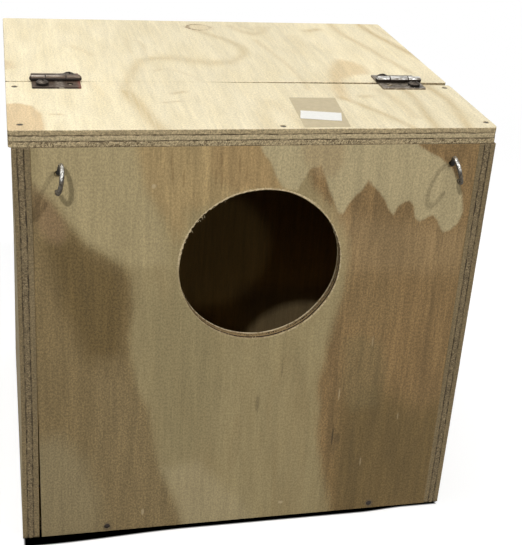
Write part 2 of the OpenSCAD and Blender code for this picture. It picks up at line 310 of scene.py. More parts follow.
def make_floor():
    """A wide floor, with a painted black shadow under and before the box, fading to plain white away."""
    mesh = bpy.data.meshes.new("floor")
    form = bmesh.new()
    bmesh.ops.create_circle(form, cap_ends=True, segments=96, radius=FLOOR_REACH)
    form.to_mesh(mesh)
    form.free()
    material, tree, _ = new_material("studio_floor")
    tree.nodes.clear()
    centre_out = add_node(tree, "TexCoord", {}).outputs["Object"]
    plain = mask_between(tree, length(tree, centre_out), *FLOOR_FADE)
    x, y, _ = split(tree, centre_out)
    beyond_x = less(tree, calc(tree, "ABSOLUTE", x), SHADOW_STRIP_HALF_WIDTH)
    beyond_y = less(tree, calc(tree, "ABSOLUTE", y), SHADOW_STRIP_HALF_DEPTH)
    widened = [mask_between(tree, x, *stretch) for stretch in (LEFT_WIDENING, MIDDLE_WIDENING)]
    beyond_y = less(tree, beyond_y, plus(tree, *widened))
    open_air = mask_between(tree, calc(tree, "MAXIMUM", beyond_x, beyond_y), *SHADOW_STRIP_EDGE)
    # Painted shadow: the floor's colour goes black under and just in front of the box.
    shade = mix_tone(tree, open_air, (0.0, 0.0, 0.0), FLOOR_SEEN_COLOUR)
    lit = add_node(tree, "BsdfDiffuse", {"Color": shade}).outputs[0]
    glow_level = times(tree, open_air, FLOOR_SEEN_GLOW)
    glow = add_node(tree, "Emission", {"Strength": glow_level}).outputs[0]
    near = add_node(tree, "AddShader", {0: lit, 1: glow}).outputs[0]
    white = add_node(tree, "Emission", {"Strength": 1.0}).outputs[0]
    shown = add_node(tree, "MixShader", {0: plain, 1: near, 2: white}).outputs[0]
    bounce = add_node(tree, "BsdfDiffuse", {"Color": FLOOR_BOUNCE_COLOUR}).outputs[0]
    both = add_node(tree, "MixShader", {0: seen_directly(tree), 1: bounce, 2: shown}).outputs[0]
    add_node(tree, "OutputMaterial", {"Surface": both})
    floor = put_in_scene("studio_floor", mesh)
    mesh.materials.append(material)
    floor.location.z = -FLOOR_GAP


def make_background():
    """White where it is seen, and a plain soft sky for light."""
    world = bpy.data.worlds.new("studio")
    bpy.context.scene.world = world
    world.use_nodes = True
    tree = world.node_tree
    tree.nodes.clear()
    level = mix_value(tree, seen_directly(tree), SKY_LEVEL, 1.0)
    sky = add_node(tree, "Background", {"Strength": level}).outputs[0]
    add_node(tree, "OutputWorld", {"Surface": sky})


make_floor()
make_background()
print("floor", 2 * FLOOR_REACH, "m across, sky level", SKY_LEVEL)

# %% [markdown]
# The hooks throw shadows to both sides, so two far lamps of small angle stand in front of the box,
# one low on the left and one high on the right. A third, very weak, stands near the camera and puts a
# faint disc on the back wall inside. Broad lamps overhead make the roof brightest and let the front
# darken downwards. A level of 1 lights a facing surface so that it shows its own colour.


# %% Lamps
BOX_MIDDLE = Vector((0, -0.10, 0.20))
LAMPS = {
    "left_lamp": dict(toward=(-0.414, -1.0, 0.873), distance=3.0, size=0.06, level=0.45),
    "right_lamp": dict(toward=(0.756, -1.0, 1.453), distance=3.0, size=0.12, level=0.36),
    "room_lamp": dict(toward=(-0.045, -1.0, 0.43), distance=3.0, size=0.12, level=0.030),
    "overhead_lamp": dict(toward=(-0.30, 0.30, 1.0), distance=1.1, size=0.8, level=0.545),
    "near_lamp": dict(toward=(-0.1, -0.75, 1.0), distance=0.42, size=0.4, level=0.11),
}


def hang_lamp(name, toward, distance, size, level):
    """A square lamp that faces the upper middle of the front."""
    data = bpy.data.lights.new(name, "AREA")
    data.size = size
    data.energy = level * math.pi**2 * distance**2
    lamp = put_in_scene(name, data)
    way = Vector(toward).normalized()
    aim(lamp, BOX_MIDDLE + way * distance, -way, Vector((0, 1, 0)))


for lamp_name, settings in LAMPS.items():
    hang_lamp(lamp_name, **settings)
print(len(LAMPS), "lamps")

# %% [markdown]
# ## Veneers as a solid texture
#
# Plywood is three sheets of wood peeled from a log and glued with the middle one turned across. If
# the grain is a texture of solid space, stretched one way in the outer plies and the other way in
# the core, then faces, sawn edges and the rim of the hole all come out right from one rule. The
# place fed to these groups is in millimetres: x across the face grain, y along it, z into the board.


# %% Shared effect: which ply, and the glue between plies
def build_ply_layers():
    inputs = {"Place": PLACE, "Thickness": ("Float", 9.0), "Face ply": ("Float", 3.0)}
    tree, given, made = start_group("Ply layers", inputs, {"Core": "Float", "Glue": "Float"})
    outer_line = given["Face ply"]
    inner_line = less(tree, given["Thickness"], outer_line)
    wander = stretched_noise(tree, given["Place"], (0.10, 0.10, 0.0), 2.0)
    depth = plus(tree, split(tree, given["Place"])[2], swing(tree, wander, 0.6))
    lines_off = [off_from(tree, depth, line) for line in (outer_line, inner_line)]
    line = mask_between(tree, calc(tree, "MINIMUM", *lines_off), 0.50, 0.20)
    breaks = stretched_noise(tree, given["Place"], (0.22, 0.22, 0.5), 5.0, 0.75)
    broken = mix_value(tree, mask_between(tree, breaks, 0.46, 0.56), 0.35, 1.0)
    plug(tree, times(tree, line, broken), made["Glue"])
    past_first = calc(tree, "GREATER_THAN", depth, outer_line)
    before_second = calc(tree, "LESS_THAN", depth, inner_line)
    plug(tree, times(tree, past_first, before_second), made["Core"])
    return tree


ply_layers = build_ply_layers()

# %% [markdown]
# Fibres are the finest thing that a veneer shows. Five noises, most of them stretched along the
# grain, give hair-fine fibres, pencil-wide streaks, fuzz, long bands and broad changes of tone. A
# sixth, cut off near its peaks, leaves the short dark dashes of resin ducts. The core swaps its two
# directions, so it runs across.

# %% Shared effect: veneer fibres
# Each noise: waves per mm across, along and through, then detail, roughness and distortion.
VENEER_NOISES = {
    "Fibre": ((2.4, 0.11, 2.4), 4.0, 0.62),
    "Streak": ((0.42, 0.022, 0.3), 6.0, 0.70, 0.35),
    "Tone": ((0.060, 0.020, 0.08), 5.0, 0.6),
    "Fuzz": ((1.05, 0.75, 1.05), 2.0, 0.8),
    "Band": ((0.15, 0.013, 0.2), 6.0, 0.72, 0.3),
}


def build_veneer_fibres():
    outputs = dict.fromkeys((*VENEER_NOISES, "Dash", "Height"), "Float")
    inputs = {"Place": PLACE, "Core": ("Float", 0.0)}
    tree, given, made = start_group("Veneer fibres", inputs, outputs)
    x, y, z = split(tree, given["Place"])
    across = mix_value(tree, given["Core"], x, y)
    along = mix_value(tree, given["Core"], y, x)
    place = combined(tree, across, along, z)
    found = {}
    for label, settings in VENEER_NOISES.items():
        found[label] = stretched_noise(tree, place, *settings)
        plug(tree, found[label], made[label])
    dash = mask_between(tree, stretched_noise(tree, place, (1.2, 0.15, 1.0), 1.0), 0.70, 0.78)
    plug(tree, dash, made["Dash"])
    rise = plus(tree, times(tree, found["Streak"], 0.6), found["Fibre"])
    plug(tree, less(tree, rise, times(tree, dash, 0.7)), made["Height"])
    return tree


veneer_fibres = build_veneer_fibres()

# %% [markdown]
# A saw leaves end grain torn and long grain smooth. How much a surface cuts across its fibres is the
# part of its normal that lies along them. Where that is large, short upright cuts appear, a
# millimetre or so apart, as the coarse teeth left them.


# %% Shared effect: torn end grain
def build_saw_tear():
    inputs = {"Place": PLACE, "Facing": PLACE, "Core": ("Float", 0.0)}
    outputs = dict.fromkeys(("End grain", "Tear", "Chip"), "Float")
    tree, given, made = start_group("Saw tear", inputs, outputs)
    facing = split(tree, vector_calc(tree, "ABSOLUTE", given["Facing"]))
    end = mask_between(tree, mix_value(tree, given["Core"], facing[1], facing[0]), 0.35, 0.8)
    plug(tree, end, made["End grain"])
    x, y, z = split(tree, given["Place"])
    across = mix_value(tree, given["Core"], x, y)
    slant = plus(tree, across, times(tree, z, 0.35))
    place = combined(tree, slant, z)
    cuts = stretched_noise(tree, place, (1.20, 0.80, 0.0), 4.0, 0.75, 0.9)
    zones = stretched_noise(tree, place, (0.035, 0.0, 0.0), 2.0)
    zones = mask_between(tree, zones, 0.36, 0.58, 0.45, 1.0)
    for label, start, full in (("Tear", 0.50, 0.57), ("Chip", 0.44, 0.37)):
        plug(tree, times(tree, mask_between(tree, cuts, start, full), zones, end), made[label])
    return tree


saw_tear = build_saw_tear()

# %% [markdown]
# A knife that peels a log cuts through its growth rings at a low angle, so they show as wide, bent
# bands. They are the height lines of a gently rolling field: take smooth noise, count it in steps,
# and let each step start pale and end dark. This serves the boards that the photo doesn't show.


# %% Shared effect: growth bands
def build_growth_bands():
    inputs = {"Place": PLACE, "Bands": ("Float", 8.0)}
    tree, given, made = start_group("Growth bands", inputs, {"Latewood": "Float"})
    field = stretched_noise(tree, given["Place"], (0.016, 0.0042, 0.04), 2.0, 0.45, 0.6)
    count = calc(tree, "FRACT", times(tree, field, given["Bands"]))
    rise = mask_between(tree, count, 0.30, 0.90)
    fall = mask_between(tree, count, 1.0, 0.92)
    plug(tree, times(tree, rise, fall), made["Latewood"])
    return tree


growth_bands = build_growth_bands()

# %% [markdown]
# Water crept along the grain of this box and left stains with ragged lower ends. Each stain is a
# distance stored in the mesh: how far a point lies inside the stain's outline. Noise along the grain
# shifts that distance before it is cut off, which frays the edge. A small mark is simpler: an oval
# with a wobbly edge.


# %% Shared effects: stain edge and small mark
def build_stain_edge():
    inputs = {"Place": PLACE, "Reach": ("Float", 0.0), "Fray": ("Float", 2.0), "Softness": ("Float", 1.0)}
    tree, given, made = start_group("Stain edge", inputs, {"Stain": "Float"})
    fray = stretched_noise(tree, given["Place"], (0.50, 0.060, 0.0), 6.0, 0.75)
    reach = plus(tree, given["Reach"], swing(tree, fray, given["Fray"]))
    outer = times(tree, given["Softness"], -1.0)
    plug(tree, mask_between(tree, reach, outer, given["Softness"]), made["Stain"])
    return tree


def build_small_mark():
    halves = {"Half width": ("Float", 1.0), "Half length": ("Float", 4.0)}
    inputs = {"Place": PLACE, "Centre": PLACE, **halves}
    tree, given, made = start_group("Small mark", inputs, {"Mark": "Float"})
    off = split(tree, vector_calc(tree, "SUBTRACT", given["Place"], given["Centre"]))
    shares = [calc(tree, "DIVIDE", side, given[half]) for side, half in zip(off, halves)]
    squares = [calc(tree, "POWER", share, 2.0) for share in shares]
    wobble = stretched_noise(tree, given["Place"], (0.9, 0.35, 0.0), 3.0)
    out = plus(tree, calc(tree, "SQRT", plus(tree, *squares)), wobble)
    plug(tree, mask_between(tree, out, 1.7, 1.0), made["Mark"])
    return tree


stain_edge = build_stain_edge()
small_mark = build_small_mark()
print(len(bpy.data.node_groups), "shared effects for wood")

# %% [markdown]
# ## What a board is
#
# A board knows which way its grain runs and which of its faces is seen. Everything about it is
# worked out in three board directions, across, along and through, and only turned to the box's own
# axes when the mesh is written. The same directions feed the solid texture.

# %% Board directions
AXES = {"X": 0, "Y": 1, "Z": 2}
BOW_THINNING = 0.42


class Board:
    """One plywood board of the CAD, with its grain along one axis and its seen face named by side."""

    def __init__(self, node, grain, seen, roughness=0.22, bow=None, face_ply=None, torn=(1, 1)):
        low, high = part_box(node)
        self.node = node
        self.roughness = roughness
        self.bow = bow
        self.torn = torn
        self.through = AXES[seen[1]]
        self.along = AXES[grain]
        self.across = 3 - self.through - self.along
        self.low = np.array(low) / MM
        self.high = np.array(high) / MM
        self.outward = 1 if seen[0] == "+" else -1
        self.skin = (self.high if self.outward > 0 else self.low)[self.through]
        self.thickness = (self.high - self.low)[self.through]
        self.face_ply = face_ply or self.thickness / 3

    def flat(self, point):
        """(across, along) of a point in the row frame, in millimetres."""
        return point[self.across], point[self.along]

    def bow_at(self, along):
        """How far the board bends inwards at a height, in millimetres."""
        return float(np.interp(along, *zip(*self.bow))) if self.bow else 0.0

    def bent(self, point):
        """Bends the board inwards, and thins its outer ply where it bends the most."""
        across, along, depth = point
        bow = self.bow_at(along)
        outer = max(0.0, 1 - depth / (self.face_ply - 0.15))
        return across, along, depth + bow + BOW_THINNING * bow * outer

    def in_row(self, across, along, depth):
        """A point of the board as metres in the row frame."""
        point = [0.0, 0.0, 0.0]
        point[self.across] = across * MM
        point[self.along] = along * MM
        point[self.through] = (self.skin - self.outward * depth) * MM
        return point


LEFT_BOW = [(0, 0.45), (20, 0.7), (47, 1.0), (74, 1.3), (100, 1.5), (165, 1.6), (194, 1.55), (216, 1.3),
            (238, 1.05)]
BOARDS = {
    "front_panel": Board("front_panel", "Z", "-Y", face_ply=1.1),
    "back_panel": Board("back_panel", "Z", "+Y"),
    "left_panel": Board("left_panel", "Z", "-X", roughness=0.34, bow=LEFT_BOW),
    "right_panel": Board("right_panel", "Z", "+X", roughness=0.34),
    "floor_panel": Board("floor_panel", "Y", "-Z"),
    "roof_board": Board("roof_board", "Y", "+Z", roughness=0.34, torn=(0.35, 1.25)),
    "lid_board": Board("lid_board", "Y", "+Z", roughness=0.24),
}
for board in BOARDS.values():
    print(board.node, "is", round(board.thickness, 2), "mm thick")

# %% [markdown]
# ## Outlines
#
# A board's outline is a closed row of points with small rounded corners. Holes are rows of points
# that run the other way round, so that for both the right-hand side of the row is the open air. One
# rule then wears both back into the wood.


# %% Outlines and holes
def rounded_rectangle(low, high, radius, step):
    """Points round a rectangle in millimetres, anticlockwise and about one step apart."""
    points = []
    turns = max(3, int(radius / 0.35)) if radius else 0
    for quarter, (a, b) in enumerate(((1, 0), (1, 1), (0, 1), (0, 0))):
        centre = np.array((high[0] - radius if a else low[0] + radius,
                           high[1] - radius if b else low[1] + radius))
        for turn in range(turns + 1):
            angle = math.pi / 2 * (quarter - 1 + (turn / turns if turns else 0.5))
            points.append(centre + radius * np.array((math.cos(angle), math.sin(angle))))
    outline = []
    for here, there in zip(points, points[1:] + points[:1]):
        pieces = max(1, int(np.linalg.norm(there - here) / step))
        outline += [here + (there - here) * k / pieces for k in range(pieces)]
    return np.array(outline)


def round_hole(centre, radius, step, wobble=0.0, seed=0.0):
    """Points round a hole, clockwise, with a hand-held saw's wobble."""
    count = max(12, int(2 * math.pi * radius / step))
    points = []
    for k in range(count):
        angle = -2 * math.pi * k / count
        way = np.array((math.cos(angle), math.sin(angle)))
        slip = noise.noise(Vector((way[0] * 2.2, way[1] * 2.2, seed)))
        points.append(np.array(centre) + way * (radius + wobble * slip))
    return np.array(points)


def open_side(loop):
    """Unit vectors from each point of a row towards the open air, on its right-hand side."""
    ahead = np.roll(loop, -1, 0) - np.roll(loop, 1, 0)
    ahead /= np.linalg.norm(ahead, axis=1)[:, None]
    return np.stack((ahead[:, 1], -ahead[:, 0]), 1)


def run_length(loop):
    """How far along the row each point lies, in millimetres."""
    steps = np.linalg.norm(np.diff(loop, axis=0), axis=1)
    return np.concatenate(([0.0], np.cumsum(steps)))


print("a 235 by 238 mm board has", len(rounded_rectangle((0, 0), (235, 238), 0.5, 3.0)), "points")

# %% [markdown]
# ## Sawn edges
#
# Seen close, a plywood edge isn't flat. The arris is worn round, the glue lines have lost glue and
# lie back as grooves, and the plies cut across their fibres are rough. So the edge is built in
# levels from face to face, and each level has its own depth back into the wood.

# %% Wear of an edge
GLUE_GROOVE = 0.30


def edge_levels(board):
    """Depths at which an edge is modelled, close together at the faces and the glue lines."""
    thickness, face = board.thickness, board.face_ply
    lip = 0.20
    half = [0, 0.12, 0.4]
    if face > 2:
        half += [face * 0.40, face * 0.70]
    half += [face - lip, face, face + lip, (face + thickness / 2) / 2]
    return np.array(half + [thickness / 2] + [thickness - depth for depth in reversed(half)])


def ripple(*place):
    """Smooth noise from about -1 to 1 at a place of two or three numbers."""
    return noise.noise(Vector((*place, 0.0)[:3]))


def edge_wear(board, run, side, depth, seed, arris):
    """How far one point of a sawn edge lies back from the clean cut, in millimetres."""
    near = min(depth, board.thickness - depth)
    arris *= 1 + 0.6 * ripple(run / 14, seed) + 0.5 * ripple(run / 1.7, depth, seed)
    back = 0.0
    if near < arris:
        back += arris - math.sqrt(arris**2 - (arris - near) ** 2)
    gap = abs(near - board.face_ply)
    lost_glue = max(0.0, 0.6 + 1.5 * ripple(run / 7, depth, seed))
    back += GLUE_GROOVE * max(0, 1 - gap / 0.25) * lost_glue
    in_core = near > board.face_ply
    cuts_fibres = (abs(side[1]) > 0.7) != in_core
    if cuts_fibres and near > 0.3:
        torn = max(0.0, ripple(run * 0.75, depth * 0.8, seed) - 0.12)
        zone = 0.4 + 0.6 * max(0.0, min(1.0, 0.5 + 2.5 * ripple(run / 45, seed + 3)))
        back += board.roughness * zone * (2.2 * torn + 0.3 * (1 + ripple(run * 1.9, depth, seed)))
    elif near > 0.3:
        back += 0.05 * (1 + ripple(run * 0.05, depth * 1.3, seed))
    return max(back, 0.0)


print("levels of the lid's edge:", len(edge_levels(BOARDS["lid_board"])))

# %% [markdown]
# ## Boards as meshes
#
# Each face is filled with triangles between its outline, its holes and a grid of points, because a
# grid of points can carry painted values such as the reach of a stain. Delaunay triangulation does
# this in one call. It also fills the holes, so those triangles are thrown out again.


# %% Face filling
def inside_polygon(points, outline):
    """Which points lie inside a closed outline."""
    inside = np.zeros(len(points), bool)
    for (ax, ay), (bx, by) in zip(outline, np.roll(outline, -1, 0)):
        if ay == by:
            continue
        crosses = (points[:, 1] < ay) != (points[:, 1] < by)
        inside ^= crosses & (points[:, 0] < ax + (points[:, 1] - ay) * (bx - ax) / (by - ay))
    return inside


def distance_to_path(points, path, closed=False):
    """Distance in millimetres from each point to a path of straight stretches."""
    path = np.array(path, float)
    ends = np.roll(path, -1, 0) if closed else path[1:]
    nearest = np.full(len(points), 1e9)
    for start, end in zip(path, ends):
        stretch = end - start
        share = ((points - start) @ stretch / max(stretch @ stretch, 1e-9)).clip(0, 1)
        gap = points - start - share[:, None] * stretch
        nearest = np.minimum(nearest, np.hypot(gap[:, 0], gap[:, 1]))
    return nearest


def fill_face(loops, grid_step):
    """Triangles between an outline and its holes: returns the grid's points and all triangles."""
    outer = loops[0]
    low, high = outer.min(0) + grid_step * 0.6, outer.max(0) - grid_step * 0.6
    columns = np.linspace(low[0], high[0], max(2, int((high[0] - low[0]) / grid_step)))
    rows = np.linspace(low[1], high[1], max(2, int((high[1] - low[1]) / grid_step)))
    grid = np.array([(a, b) for a in columns for b in rows])
    keep = np.ones(len(grid), bool)
    for hole in loops[1:]:
        keep &= ~inside_polygon(grid, hole)
        keep &= distance_to_path(grid, hole, closed=True) > grid_step * 0.5
    grid = grid[keep]
    ring_ids, edges, first = [], [], 0
    for ring, loop in enumerate(loops):
        count = len(loop)
        edges += [(first + k, first + (k + 1) % count) for k in range(count)]
        ring_ids += [ring] * count
        first += count
    ring_ids = np.array(ring_ids + [-1] * len(grid))
    points = np.concatenate((*loops, grid))
    found = delaunay_2d_cdt([Vector(p) for p in points], edges, [], 1, 1e-7)
    old = [ids[0] if ids else -1 for ids in found[3]]
    triangles = np.array([[old[k] for k in face] for face in found[2]])
    triangles = triangles[(triangles >= 0).all(1)]
    rings = ring_ids[triangles]
    on_one_hole = (rings[:, 0] > 0) & (rings[:, 0] == rings[:, 1]) & (rings[:, 1] == rings[:, 2])
    middles = points[triangles].mean(1)
    filled = np.zeros(len(triangles), bool)
    for ring in range(1, len(loops)):
        here = on_one_hole & (rings[:, 0] == ring)
        filled[here] = inside_polygon(middles[here], loops[ring])
    return grid, triangles[~filled]


print("face filling ready")

# %% [markdown]
# The board maker stacks the levels of each edge, joins them with four-sided faces, closes the two
# flat sides and sinks a shallow pit for every nail head. The flat sides are flat-shaded, the worn
# edges are smooth, so light changes only where the wood really turns.


# %% Board maker
def level_points(board, loop, depth, seed, arris):
    """One level of a sawn edge: the row of points, worn back into the wood."""
    sides, runs = open_side(loop), run_length(loop)
    wear = []
    for point, side, run in zip(loop, sides, runs):
        local = arris(point) if callable(arris) else arris
        wear.append(edge_wear(board, run, side, depth, seed, local))
    return loop - sides * np.array(wear)[:, None]


def build_board(board, outline, holes=(), pits=(), grid_step=2.0, seed=1.0, arris=0.45, hole_arris=0.3):
    """A closed mesh of one board. Holes go through, and pits are (loop, depth) in the seen face."""
    levels = edge_levels(board)
    points, faces, smooth = [], [], []

    def add_ring(row, depth):
        start = len(points)
        points.extend((a, b, depth) for a, b in row)
        return range(start, start + len(row))

    def join(upper, lower):
        for k in range(len(upper)):
            n = (k + 1) % len(upper)
            faces.append((upper[k], upper[n], lower[n], lower[k]))
            smooth.append(True)

    tops, bottoms, top_rows, bottom_rows = [], [], [], []
    for number, loop in enumerate((outline, *holes)):
        streaked = arris if number == 0 else hole_arris
        rows = [level_points(board, loop, depth, seed + number, streaked) for depth in levels]
        rings = [add_ring(row, depth) for row, depth in zip(rows, levels)]
        for upper, lower in zip(rings, rings[1:]):
            join(upper, lower)
        tops.append(rings[0])
        bottoms.append(rings[-1])
        top_rows.append(rows[0])
        bottom_rows.append(rows[-1])
    for loop, depth in pits:
        rim, foot = add_ring(loop, 0.0), add_ring(loop, depth)
        join(rim, foot)
        faces.append(tuple(foot))
        smooth.append(False)
        tops.append(rim)
        top_rows.append(loop)
    coarse = max(grid_step, 12.0)
    for rings, rows, depth, step in (
        (tops, top_rows, 0.0, grid_step),
        (bottoms, bottom_rows, board.thickness, coarse),
    ):
        grid, triangles = fill_face(rows, step)
        numbers = [index for ring in rings for index in ring]
        numbers += list(add_ring(grid, depth))
        faces.extend(tuple(numbers[k] for k in triangle) for triangle in triangles)
        smooth.extend([False] * len(triangles))
    mesh = bpy.data.meshes.new(board.node + "_ply")
    mesh.from_pydata([board.in_row(*board.bent(point)) for point in points], [], faces)
    mesh.polygons.foreach_set("use_smooth", smooth)
    form = bmesh.new()
    form.from_mesh(mesh)
    bmesh.ops.recalc_face_normals(form, faces=form.faces)
    open_edges = sum(not edge.is_manifold for edge in form.edges)
    form.to_mesh(mesh)
    form.free()
    piece = put_in_scene(board.node + "_ply", mesh)
    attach(piece, frame["nodes"][board.node]["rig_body"])
    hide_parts(board.node)
    print(piece.name, len(mesh.polygons), "faces,", open_edges, "open edges")
    return piece, np.array(points)


# %% [markdown]
# ## The front, with its entry hole
#
# The hole was cut by hand with a jigsaw. It is a little out of round, and where the blade crossed
# the fibres, at the upper left, it left a row of small steps. The panel's left edge isn't quite
# straight either, which opens a dark gap beside it low down.

# %% Cut the front panel
PANEL_TOP_LEFT = (-127.0, 246.8)
ENTRY_CENTRE = (2.5, 169.3)
ENTRY_RADIUS = 44.0
# The saw's steps: at this angle and this far to both sides of it, in degrees.
STEPS_AT = 140
STEPS_REACH = 38
# How far the panel is pressed between the walls, and its gap at the foot of the left wall.
FRONT_SQUEEZE = 0.17
FOOT_GAP = 1.3
FOOT_GAP_HEIGHT = 105
NAIL_HEAD_RADIUS = 1.6
NAIL_PIT_RADIUS = 1.85
NAIL_PIT_DEPTH = 0.9
HOOK_PIT_RADIUS = 1.75
HOOK_PIT_DEPTH = 1.4


def from_top_left(places):
    """Points measured right and down from the front's top left corner, as (across, along)."""
    left, top = PANEL_TOP_LEFT
    return [(left + right, top - down) for right, down in places]


def nail_pit(centre, seed):
    """A dent round a nail head, a little torn."""
    return round_hole(centre, NAIL_PIT_RADIUS, 0.7, wobble=0.25, seed=seed), NAIL_PIT_DEPTH


def ragged_entry_hole():
    """The jigsaw's hole: wobbly all round and stepped at the upper left."""
    loop = round_hole(ENTRY_CENTRE, ENTRY_RADIUS, 0.8, wobble=0.35, seed=3.0)
    for k, point in enumerate(loop):
        away = point - np.array(ENTRY_CENTRE)
        angle = math.degrees(math.atan2(away[1], away[0]))
        stepped = max(0.0, 1 - abs(angle - STEPS_AT) / STEPS_REACH)
        tooth = (k % 4) / 4
        loop[k] += away / np.linalg.norm(away) * stepped * tooth
    return loop


def torn_arris(point):
    """The hole's arris is torn wider at its upper left."""
    right, up = point - np.array(ENTRY_CENTRE)
    return 0.30 + 0.35 * min(1.0, max(0.0, (up - 0.8 * right - 10) / 20))


def front_outline(board):
    """The front's outline: tight between the sides, with a gap at the left towards the bottom."""
    low, high = board.flat(board.low), board.flat(board.high)
    low, high = (low[0] - FRONT_SQUEEZE, low[1]), (high[0] + FRONT_SQUEEZE, high[1])
    loop = rounded_rectangle(low, high, 0, 2.4)
    for point in loop:
        if point[0] < low[0] + 0.5:
            gap = FOOT_GAP * max(0.0, 1 - point[1] / FOOT_GAP_HEIGHT)
            point[0] += BOARDS["left_panel"].bow_at(point[1]) + gap
    return loop


front = BOARDS["front_panel"]
nails_low, nails_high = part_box("front_nails")
front_nails = [nails_low[0] / MM + NAIL_HEAD_RADIUS, nails_high[0] / MM - NAIL_HEAD_RADIUS]
FRONT_NAIL_HEIGHT = 3.5
front_pits = [nail_pit((across, FRONT_NAIL_HEIGHT), 5.0 + across) for across in front_nails]
HOOK_ENTRIES = {"left_hook": (-103.7, 224.4), "right_hook": (102.9, 226.5)}
for number, entry in enumerate(HOOK_ENTRIES.values()):
    dent = round_hole(entry, HOOK_PIT_RADIUS, 0.5, wobble=0.7, seed=41.0 + number)
    front_pits.append((dent, HOOK_PIT_DEPTH))
front_piece, front_points = build_board(
    front, front_outline(front), [ragged_entry_hole()], front_pits, grid_step=2.0, seed=2.0,
    arris=0.2, hole_arris=torn_arris)

# %% [markdown]
# ## Side, back and floor boards
#
# The two sides show their front edges, so those are modelled finely. The back is a plain board of
# the same ply. The floor is held between the walls and hardly seen, so it needs few points.


# %% Cut the walls and the floor
def nail_pits_of(board, node):
    """A pit for every nail head of a node that lies in the board's seen face."""
    flat = []
    mesh = frame["nodes"][node].data
    for vertex in mesh.vertices:
        place = np.array(vertex.co) / MM
        if abs(place[board.through] - board.skin) < 0.3:
            flat.append(board.flat(place))
    centres = []
    for spot in flat:
        close = [c for c in centres if math.dist(c["sum"] / c["count"], spot) < 4]
        if close:
            close[0]["sum"] += spot
            close[0]["count"] += 1
        else:
            centres.append({"sum": np.array(spot), "count": 1})
    return [nail_pit(c["sum"] / c["count"], 2.0 + n) for n, c in enumerate(centres)]


def plain_outline(board, radius, step):
    return rounded_rectangle(board.flat(board.low), board.flat(board.high), radius, step)


def beside_left_wall(loop, height=None):
    """Draws an outline's left end in as far as the left wall bows, at one height or its own."""
    left = loop[:, 0].min()
    for point in loop:
        if point[0] < left + 0.5:
            point[0] += BOARDS["left_panel"].bow_at(point[1] if height is None else height)
    return loop


wall_nails = {"back_panel": "back_nails", "left_panel": "left_nails", "right_panel": "right_nails"}
pieces = {"front_panel": (front_piece, front_points)}
for seed, (name, nails) in enumerate(wall_nails.items()):
    board = BOARDS[name]
    step = 1.1 if board.through == 0 else 2.4
    pits = nail_pits_of(board, nails)
    print(name, "has", len(pits), "nail pits")
    outline = plain_outline(board, 0, step)
    if name == "back_panel":
        outline = beside_left_wall(outline)
    pieces[name] = build_board(board, outline, (), pits, grid_step=6.0, seed=11.0 + 3 * seed, arris=0.3)
floor = BOARDS["floor_panel"]
floor_outline = beside_left_wall(plain_outline(floor, 0, 4.0), height=5.0)
pieces["floor_panel"] = build_board(floor, floor_outline, grid_step=12.0, seed=21.0)

# %% [markdown]
# ## Roof strip and lid
#
# Both roof boards were sawn from one sheet, so their grain runs on across the seam. The cut between
# them wasn't straight: it is closed a little left of the middle and opens to the right. The strip's
# right front corner has been knocked round.


# %% Cut the roof strip and the lid
# How wide the seam is, in millimetres, at places from left to right.
SEAM_GAP = [(-127, 1.0), (-112, 0.9), (-84, 0.5), (-76, 0.1), (-20, 0.10), (0, 0.9),
            (60, 2.2), (96, 3.2), (127, 4.2)]
KNOCK_REACH = 4
KNOCK_DEPTH = 0.16


def strip_outline(board):
    """The strip's outline: its rear edge follows the seam, its right corner is knocked off."""
    loop = plain_outline(board, 1.6, 1.0)
    rear = board.high[board.along]
    hinge_side = lid.low[lid.along]
    places, gaps = zip(*SEAM_GAP)
    right, front_edge = board.high[board.across], board.low[board.along]
    kept = []
    for point in loop:
        gap = np.interp(point[0], places, gaps)
        seam = hinge_side - gap - 0.06 * (1 + ripple(point[0] / 9, 4.0)) * gap
        if point[1] > rear - 0.5:
            point[1] = seam
        elif point[1] > seam - 0.8:
            continue
        knock = math.dist(point, (right, front_edge))
        if knock < KNOCK_REACH:
            inwards = np.array((right - KNOCK_REACH, front_edge + KNOCK_REACH)) - point
            point += inwards * KNOCK_DEPTH * (1 - knock / KNOCK_REACH)
        kept.append(point)
    return np.array(kept)


def strip_arris(point):
    """The strip is worn at the front, and still sharp along the seam."""
    return 0.1 if point[1] > strip.high[strip.along] - 2 else 0.4


HINGE_MIDDLES = (-100.3, 96.4)
KNUCKLES_HALF_LENGTH = 12.6


def lid_arris(point):
    """The lid is worn all round, and sharp along the seam but where a knuckle lies against it."""
    if point[1] > lid.low[lid.along] + 2:
        return 0.45
    by_knuckle = min(abs(point[0] - middle) for middle in HINGE_MIDDLES) < KNUCKLES_HALF_LENGTH
    return 1.0 if by_knuckle else 0.1


strip, lid = BOARDS["roof_board"], BOARDS["lid_board"]
strip_pits = nail_pits_of(strip, "roof_nails")
print("the strip has", len(strip_pits), "nail pits")
pieces["roof_board"] = build_board(strip, strip_outline(strip), (), strip_pits, 1.8, 31.0, strip_arris)
pieces["lid_board"] = build_board(lid, plain_outline(lid, 1.6, 1.1), (), (), 1.8, 34.0, lid_arris)

# %% [markdown]
# ## Painting distances into the boards
#
# Stains and grain figure are drawn as a few points each, in millimetres from a corner of the
# sheet. For every point of the mesh the distance to each drawing is stored as a named value, which
# the shader reads. A stored distance stays smooth between points, so it makes a sharp edge later.


# %% Stored values
def store(piece, name, values):
    """Keeps one number per mesh point under a name."""
    layer = piece.data.attributes.new(name, "FLOAT", "POINT")
    layer.data.foreach_set("value", np.asarray(values, np.float32))


left_piece, left_points = pieces["left_panel"]
store(left_piece, "bow", [BOARDS["left_panel"].bow_at(along) for along in left_points[:, 1]])


